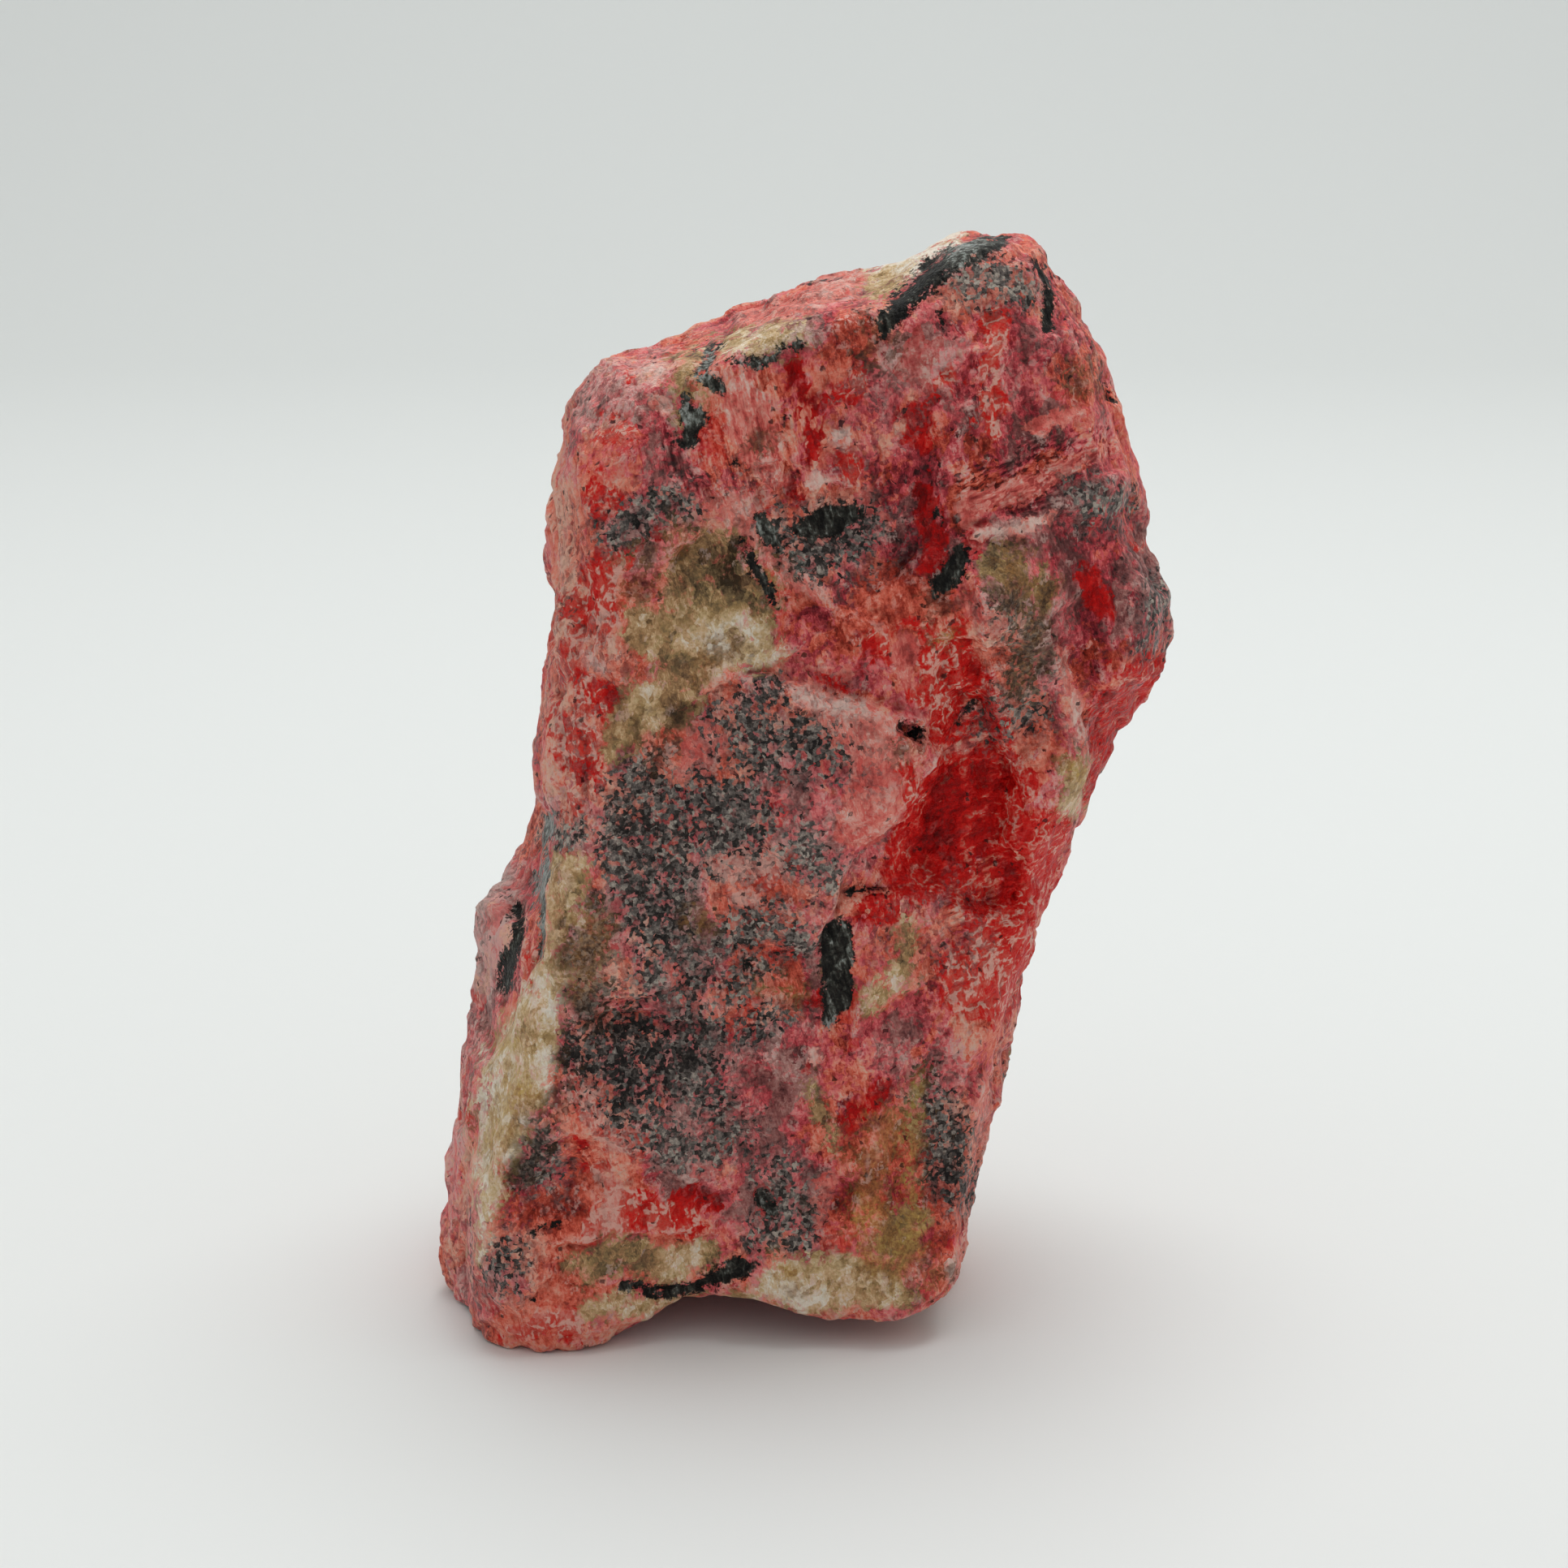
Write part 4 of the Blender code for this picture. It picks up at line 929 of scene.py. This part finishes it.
def crystals(points, size, seed):
    """The nearest crystal seed of each point, one seed jittered in each cube of a grid, and its number."""
    low = np.floor(points.min(axis=0) / size).astype(int) - GRID_MARGIN
    shape = np.ceil(points.max(axis=0) / size).astype(int) + GRID_MARGIN - low
    draw = np.random.default_rng(seed)
    places = draw.random((*shape, 3))
    cube = np.floor(points / size).astype(int) - low
    best = np.full(len(points), np.inf)
    number = np.zeros(len(points), int)
    for step in np.ndindex(3, 3, 3):
        at = cube + step - 1
        seeds = (places[at[:, 0], at[:, 1], at[:, 2]] + at + low) * size
        gap = np.linalg.norm(points - seeds, axis=1)
        closer = gap < best
        best = np.where(closer, gap, best)
        number = np.where(closer, np.ravel_multi_index(at.T, shape), number)
    return number, draw


def terraced(points, normals, strength, size, height, turn, seed):
    """Points drawn onto cleavage steps. Each crystal has one plane, which its steps keep to."""
    waves = ((CRYSTAL_WAVES[0] * size, CRYSTAL_WAVES[1] * size),)
    number, draw = crystals(points + wandering(points, waves, (seed, seed + 1, seed + 2)), size, seed)
    count = number.max() + 1
    facing = np.column_stack([np.bincount(number, normals[:, i], count) for i in range(3)])
    facing /= np.maximum(np.linalg.norm(facing, axis=1), TINY)[:, None]
    axes = np.linalg.qr(draw.normal(size=(count, 3, 3)))[0]
    match = np.einsum("cij,cj->ci", axes, facing)
    pick = np.abs(match).argmax(axis=1)
    rows = np.arange(count)
    plane = axes[rows, pick] * np.sign(match[rows, pick])[:, None]
    plane = plane * turn + facing * (1.0 - turn)
    plane /= np.maximum(np.linalg.norm(plane, axis=1), TINY)[:, None]
    step = height * draw.uniform(*STEP_RANGE, count)
    ragged = rough(points, STEP_WAVES[0], seed + STEP_SHIFT) * STEP_WAVES[1] * height
    level = ((points * plane[number]).sum(axis=1) + ragged) / step[number]
    part = level - np.floor(level)
    tread = np.clip((part - RISER[0]) / RISER[1], 0.0, 1.0)
    shift = (tread - part) * step[number] * strength
    return points + plane[number] * shift[:, None]


def carve_relief(skin):
    """Smooth the solid's facets away, then give each mineral its own fine relief."""
    mesh = skin.data
    edges = edges_of(mesh)
    low, high = (np.array(corner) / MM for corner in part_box("rhodonite_specimen"))
    points = smoothed(points_of(mesh), edges, SKIN_SMOOTHING)
    normals = move_points(mesh, points)
    hidden = depth_behind_sight(mesh, points)
    minerals = mineral_fields(points, normals, hidden)
    points = points + normals * front_forms(points, hidden)[:, None]
    normals = move_points(mesh, points)
    inside = {name: np.clip(0.5 - minerals[name][0] / RELIEF_FADE, 0.0, 1.0) for name in minerals}
    uneven = np.maximum.reduce([inside["quartz"], inside["granular"] * GRANULAR_UNEVEN, inside["oxide"]])
    inside["cleaved"] = 1.0 - uneven
    for number, (size, height, turn, keeping) in enumerate(TERRACES):
        strength = keeping * (1.0 - TERRACE_LOSS * uneven)
        seed = SEED + TERRACE_SEEDS_APART * number
        points = terraced(points, normals, strength, size, height, turn, seed)
        points = smoothed(points, edges, *TERRACE_EASING)
        normals = move_points(mesh, points)
    out = -OXIDE_DEPTH * inside["oxide"]
    for name, size, shift, height, squeeze in RELIEF:
        out = out + rough(points * (1.0, 1.0, squeeze), size, shift) * height * inside[name]
    points = points + normals * out[:, None]
    move_points(mesh, np.clip(points, low, high))
    return minerals


def store(mesh, name, columns):
    data = np.zeros((len(mesh.vertices), 3), np.float32)
    for i, column in enumerate(columns):
        data[:, i] = column
    mesh.attributes.new(name, "FLOAT_VECTOR", "POINT").data.foreach_set("vector", data.ravel())


def store_fields(skin, minerals):
    """Keep distance and tone of each mineral, and how far each point stands out of its surroundings."""
    mesh = skin.data
    for name, (distance, tone) in minerals.items():
        store(mesh, name, (np.clip(distance, -KEPT_DISTANCE, KEPT_DISTANCE), tone))
    edges = edges_of(mesh)
    points, normals = points_of(mesh), normals_of(mesh)
    store(mesh, "standing_out", [((points - smoothed(points, edges, rounds)) * normals).sum(axis=1)
                                 for rounds in (NEAR_ROUNDS, WIDE_ROUNDS)])


def new_material(name):
    material = bpy.data.materials.new(name)
    material.use_nodes = True
    material.node_tree.nodes.clear()
    return material, material.node_tree


def add(tree, kind, inputs=None, **settings):
    """A new node with its settings, of which the outputs are given back.

    An input is a value or the socket that feeds it.
    """
    new = tree.nodes.new("ShaderNode" + kind)
    for name, value in settings.items():
        setattr(new, name, value)
    for name, value in (inputs or {}).items():
        if isinstance(value, bpy.types.NodeSocket):
            tree.links.new(value, new.inputs[name])
        else:
            new.inputs[name].default_value = value
    return new.outputs


def span(name, value):
    """The inputs of a MapRange node that spreads a value over one of the named spans."""
    return {"Value": value, **dict(zip(("From Min", "From Max", "To Min", "To Max"), SPANS[name]))}


def stone_material():
    """Fresh-broken rhodonite with quartz, speckled rock and oxide.

    Cleavage chips catch the light in small flat facets, the grains are glassy with frosted, bruised edges,
    with painted glints on the frost, painted light on ridges and painted shade in hollows, and light sinks a
    little way into the pink and the quartz, so their shading is soft.
    """
    material, tree = new_material("broken_rhodonite_with_quartz_and_oxide")
    fields = {}
    for name in (*MINERALS, *OVERLAYS, "standing_out"):
        stored = add(tree, "Attribute", attribute_name=name, attribute_type="GEOMETRY")["Vector"]
        fields[name] = add(tree, "SeparateXYZ", {0: stored})
    patterns = {}

    def product(first, *factors):
        """Shares or patterns that count together."""
        for factor in factors:
            first = add(tree, "Math", {0: first, 1: factor}, operation="MULTIPLY")[0]
        return first

    def moved(value, centred, raised=None):
        """A value moved by some patterns about their middle, and raised by others."""
        steps = [(patterns[name], amount) for name, amount in centred.items()]
        steps.append((1.0, -0.5 * sum(centred.values())))
        steps += [(patterns[name], amount) for name, amount in (raised or {}).items()]
        for pattern, amount in steps:
            value = add(tree, "Math", {0: pattern, 1: amount, 2: value}, operation="MULTIPLY_ADD")[0]
        return value

    def own_colour(mineral):
        """A mineral's colour at its tone, with its tints laid over it."""
        own_tone = mineral.get("plain_tone", fields[mineral["field"]][1])
        tone = moved(own_tone, mineral["moved"], mineral.get("raised"))
        colour = None
        for stops, tint, strength in ((mineral["colours"], None, 1.0), *mineral.get("tints", ())):
            ramp = add(tree, "ValToRGB", {0: tone})["Color"]
            elements = ramp.node.color_ramp.elements
            while len(elements) < len(stops):
                elements.new(0.5)
            for element, (position, shade) in zip(elements, stops):
                element.position = position
                element.color = linear(shade)
            if tint:
                share = product(patterns[tint], strength)
                colour = add(tree, "Mix", {"Factor": share, 6: colour, 7: ramp}, data_type="RGBA")[2]
            else:
                colour = ramp
        return colour

    # Object coordinates in millimetres, straight or carried off by a small wander, and turned into blocks.
    place = add(tree, "VectorMath", {0: add(tree, "TexCoord")["Object"], 1: (1 / MM,) * 3},
                operation="MULTIPLY")[0]
    wander = add(tree, "TexNoise", {"Vector": place, "Scale": 1 / WANDER_MM, "Detail": WANDER_LOOK[0],
                                    "Roughness": WANDER_LOOK[1]})["Color"]
    spaces = {"straight": place}
    for name, reach in (("frayed", FRAYED), ("barely frayed", BARELY_FRAYED)):
        spaces[name] = add(tree, "VectorMath", {0: wander, 1: (reach,) * 3, 2: place},
                           operation="MULTIPLY_ADD")[0]
    spaces["blocks"] = add(tree, "Mapping", {"Vector": spaces["frayed"], "Rotation": BLOCK_TURN,
                                             "Scale": BLOCK_SHAPE}, vector_type="TEXTURE")[0]

    # Patterns at their sizes. Each kind of broken piece gives three draws for every piece: a, b and c.
    for name, space, size, detail, roughness in CLOUDY:
        patterns[name] = add(tree, "TexNoise", {"Vector": spaces[space], "Scale": 1 / size, "Detail": detail,
                                                "Roughness": roughness})["Fac"]
    broken = {}
    for name, space, size in BROKEN:
        broken[name] = add(tree, "TexVoronoi", {"Vector": spaces[space], "Scale": 1 / size},
                           distance="CHEBYCHEV")
        draws = add(tree, "SeparateColor", {0: broken[name]["Color"]})
        for letter, drawn in zip("abc", draws):
            patterns[f"{name} {letter}"] = drawn
    for name, lean, start, size in STROKES:
        turned = add(tree, "Mapping", {"Vector": spaces["barely frayed"], "Location": (start, 0, 0),
                                       "Rotation": (0, math.radians(lean), 0), "Scale": size},
                     vector_type="TEXTURE")[0]
        patterns[name] = add(tree, "TexNoise", {"Vector": turned, "Scale": 1.0, "Detail": STROKE_LOOK[0],
                                                "Roughness": STROKE_LOOK[1]})["Fac"]
    fibrous = add(tree, "MapRange", span("fibrous", fields["fibre"][0]))[0]
    slant = product(fibrous, fields["fibre"][1])
    for name, upright in (("stroke", "upright stroke"), ("fibre line", "long fibre")):
        patterns[name] = add(tree, "Mix", {"Factor": slant, 2: patterns[upright],
                                           3: patterns["slanting stroke"]})[0]
    patterns["fibres"] = product(moved(0.0, FIBRE_TONES), fibrous)
    off_middle = add(tree, "Math", {0: patterns["stroke"], 1: 0.5}, operation="SUBTRACT")[0]
    off_middle = add(tree, "Math", {0: off_middle}, operation="ABSOLUTE")[0]
    patterns["streak"] = product(add(tree, "MapRange", span("streak", off_middle))[0],
                                 add(tree, "MapRange", span("streaked place", patterns["mottle"]))[0])

    # What stands out is paler than what lies in the hollows: partly bruised edges, partly painted light on
    # ridges and painted shade in hollows.
    near, wide = fields["standing_out"][:2]
    patterns["bruise_and_relief_light"] = add(tree, "MapRange", span("bruise_and_relief_light", wide))[0]

    # Rose crystals of different tone and hue lie side by side, plainer in some places than others.
    patterns["cells"] = product(moved(0.0, CELL_TONES),
                                add(tree, "MapRange", span("contrast", patterns["cloud"]))[0])
    hue = moved(fields["hue"][1], HUE_PATTERNS)
    for name in ("warm", "dull"):
        patterns[name] = add(tree, "MapRange", span(name, hue))[0]

    # Clear crimson crystals are netted with pale bruised seams; single ones are strewn through the rose.
    meshes = add(tree, "Mapping", {"Vector": spaces["frayed"], "Rotation": NET_TURN, "Scale": NET_MM},
                 vector_type="TEXTURE")[0]
    meshes = add(tree, "VectorMath", {0: wander, 1: (NET_FRAYED,) * 3, 2: meshes},
                 operation="MULTIPLY_ADD")[0]
    seams = add(tree, "TexVoronoi", {"Vector": meshes, "Scale": 1.0}, feature="DISTANCE_TO_EDGE")["Distance"]
    patterns["net"] = product(add(tree, "MapRange", span("net", seams))[0],
                              add(tree, "MapRange", span("netted place", moved(0.0, NET_PLACES)))[0],
                              add(tree, "MapRange", span("clouded", fields["red"][1]))[0])
    chosen = add(tree, "Math", {0: patterns["crystal b"], 1: STREWN_DRAW}, operation="GREATER_THAN")[0]
    patterns["strewn crystals"] = product(chosen, STREWN_SHOWS)

    colour = own_colour(ROSE)
    covers = {}
    for layer in LAYERS:
        softness, reach = layer["softness"], layer.get("reach", 0.0)
        edge = moved(fields[layer["field"]][0], layer["pushed"])
        cover = add(tree, "MapRange", {"Value": edge, "From Min": reach + softness,
                                       "From Max": reach - softness}, interpolation_type="SMOOTHSTEP")[0]
        if "strewn" in layer:
            cover = add(tree, "Math", {0: cover, 1: patterns[layer["strewn"]]}, operation="MAXIMUM")[0]
        if "hides" in layer:
            cover = product(cover, layer["hides"])
        covers[layer["name"]] = cover
        colour = add(tree, "Mix", {"Factor": cover, 6: colour, 7: own_colour(layer)}, data_type="RGBA")[2]

    # Specks of the same oxide are strewn through all but the quartz.
    chosen = add(tree, "Math", {0: patterns["grain a"], 1: SPECK_SHARE}, operation="LESS_THAN")[0]
    off_quartz = add(tree, "Math", {0: SPECK_SHOWS, 1: covers["quartz"]}, operation="SUBTRACT",
                     use_clamp=True)[0]
    specks = product(chosen, add(tree, "MapRange", span("speck", broken["grain"]["Distance"]))[0], off_quartz)
    colour = add(tree, "Mix", {"Factor": specks, 6: colour, 7: linear(SPECK)}, data_type="RGBA")[2]

    # Bruised edges and single chips are frosted, and the frost also paints glints on them; painted shade
    # darkens the hollows.
    dark = covers["oxide"]
    for name, amount in LESS_FROST_AND_GLINT.items():
        dark = add(tree, "Math", {0: covers[name], 1: amount, 2: dark}, operation="MULTIPLY_ADD")[0]
    soft = add(tree, "Math", {0: 1.0, 1: dark}, operation="SUBTRACT", use_clamp=True)[0]
    chosen = add(tree, "Math", {0: patterns["chip c"], 1: CHIP_DRAW}, operation="GREATER_THAN")[0]
    frost_and_glint = add(tree, "Math", {0: add(tree, "MapRange", span("edge frost", near))[0],
                               1: product(chosen, CHIP_SHOWS)}, operation="MAXIMUM")[0]
    ragged = add(tree, "MapRange", span("ragged", moved(0.5, RAGGED_FROST_AND_GLINT)))[0]
    frost_and_glint = product(frost_and_glint, ragged, soft, FROST_AND_GLINT_STRENGTH)
    colour = add(tree, "Mix", {"Factor": frost_and_glint, 6: colour, 7: linear(FROST_AND_GLINT)}, data_type="RGBA")[2]
    # Painted shade: the hollows are darkened by multiplying.
    hollow = add(tree, "MapRange", span("hollow", near))[0]
    colour = add(tree, "Mix", {"Factor": hollow, 6: colour, 7: linear(PAINTED_HOLLOW_SHADE)}, data_type="RGBA",
                 blend_type="MULTIPLY")[2]

    # Relief too fine for the mesh: tilted chips and grit.
    from_seed = add(tree, "VectorMath", {0: spaces["blocks"], 1: broken["chip"]["Position"]},
                    operation="SUBTRACT")[0]
    lean = add(tree, "VectorMath", {0: broken["chip"]["Color"], 1: (0.5,) * 3}, operation="SUBTRACT")[0]
    tilt = add(tree, "VectorMath", {0: from_seed, 1: lean}, operation="DOT_PRODUCT")["Value"]
    height = add(tree, "Math", {0: patterns["grit"], 1: GRIT_HEIGHT, 2: product(tilt, CHIP_TILT)},
                 operation="MULTIPLY_ADD")[0]
    bump = add(tree, "Bump", {"Height": height, "Distance": BUMP_MM * MM, "Strength": 1.0})[0]

    surface = add(tree, "BsdfPrincipled", {
        "Base Color": colour,
        "Roughness": add(tree, "MapRange", span("roughness", patterns["grit"]))[0],
        "IOR": RHODONITE_IOR,
        "Specular IOR Level": SHINE,
        "Subsurface Weight": SINKING_LIGHT,
        "Subsurface Radius": SINKING_MM,
        "Subsurface Scale": MM,
        "Normal": bump,
    })[0]
    add(tree, "OutputMaterial", {"Surface": surface})
    return material


def paper_material():
    """Matt paper with a fine tooth, in one even pale tone."""
    material, tree = new_material("matt_paper_sweep")
    tooth = add(tree, "TexNoise", {"Vector": add(tree, "TexCoord")["Object"], "Scale": TOOTH_SCALE,
                                   "Detail": 2.0})["Fac"]
    bump = add(tree, "Bump", {"Height": tooth, "Distance": TOOTH_MM * MM, "Strength": TOOTH_STRENGTH})[0]
    surface = add(tree, "BsdfPrincipled", {"Base Color": linear(SWEEP_COLOUR), "Roughness": SWEEP_ROUGHNESS,
                                           "Normal": bump})[0]
    add(tree, "OutputMaterial", {"Surface": surface})
    return material


def edit_back_edges(mesh, highest):
    """Select the sweep's edges that lie at its back, no higher than given, and go into edit mode."""
    for edge in mesh.edges:
        ends = [mesh.vertices[v].co for v in edge.vertices]
        edge.select = all(end.y > SWEEP_BACK - MM and end.z < highest for end in ends)
    bpy.ops.object.mode_set(mode="EDIT")


def make_sweep():
    """A pale sheet under the stone that turns up far behind it."""
    bpy.ops.object.select_all(action="DESELECT")
    bpy.ops.mesh.primitive_plane_add(size=1.0, location=(0, 0, 0))
    sweep = bpy.context.object
    sweep.name = "pale_sweep"
    sweep.scale = (SWEEP_WIDTH, SWEEP_FRONT + SWEEP_BACK, 1.0)
    sweep.location = (0, 0.5 * (SWEEP_BACK - SWEEP_FRONT), 0)
    bpy.ops.object.transform_apply(location=True, rotation=False, scale=True)
    bpy.ops.object.mode_set(mode="EDIT")
    bpy.ops.mesh.select_mode(type="EDGE")
    bpy.ops.mesh.select_all(action="DESELECT")
    bpy.ops.object.mode_set(mode="OBJECT")
    edit_back_edges(sweep.data, SWEEP_HEIGHT)
    bpy.ops.mesh.extrude_region_move(TRANSFORM_OT_translate={"value": (0, 0, SWEEP_HEIGHT)})
    bpy.ops.object.mode_set(mode="OBJECT")
    edit_back_edges(sweep.data, MM)
    bpy.ops.mesh.bevel(offset=SWEEP_TURN, segments=SWEEP_STEPS, affect="EDGES")
    bpy.ops.object.mode_set(mode="OBJECT")
    sweep.data.materials.append(paper_material())
    bpy.ops.object.shade_smooth()


def light_studio():
    """An even pale room with a large soft box above the stone, a little to the right and behind."""
    world = bpy.data.worlds.new("pale_room")
    world.use_nodes = True
    tree = world.node_tree
    upward = add(tree, "SeparateXYZ", {0: add(tree, "TexCoord")["Generated"]})["Z"]
    room = add(tree, "ValToRGB", {0: upward})["Color"]
    for element, shade in zip(room.node.color_ramp.elements, (ROOM_WALLS, ROOM_CEILING)):
        element.color = linear(shade)
    backdrop = tree.nodes["Background"]
    tree.links.new(room, backdrop.inputs["Color"])
    backdrop.inputs["Strength"].default_value = ROOM_LIGHT
    bpy.context.scene.world = world
    lamp = bpy.data.lights.new("soft_box_above", "AREA")
    lamp.shape = "SQUARE"
    lamp.size = BOX_SIZE
    lamp.energy = BOX_POWER
    light = bpy.data.objects.new("soft_box_above", lamp)
    bpy.context.scene.collection.objects.link(light)
    light.location = BOX_PLACE
    light.rotation_euler = (Vector(BOX_TARGET) - Vector(BOX_PLACE)).to_track_quat("-Z", "Y").to_euler()


def place_camera():
    lens = bpy.data.cameras.new("camera")
    lens.lens = CAMERA_LENS
    lens.sensor_width = CAMERA_SENSOR
    lens.clip_start, lens.clip_end = CAMERA_CLIP
    camera = bpy.data.objects.new("camera", lens)
    bpy.context.scene.collection.objects.link(camera)
    camera.location = CAMERA_PLACE
    camera.rotation_euler = (CAMERA_PITCH, 0, 0)
    bpy.context.scene.camera = camera
    bpy.context.scene.view_settings.view_transform = "Standard"


def make_stone():
    stone = skin_of_stone()
    minerals = carve_relief(stone)
    store_fields(stone, minerals)
    stone.data.materials.append(stone_material())
    make_active(stone)
    bpy.ops.object.shade_smooth_by_angle(angle=SHARP_ANGLE)
    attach(stone, "root")
    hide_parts("rhodonite_specimen")


make_stone()
make_sweep()
light_studio()
place_camera()
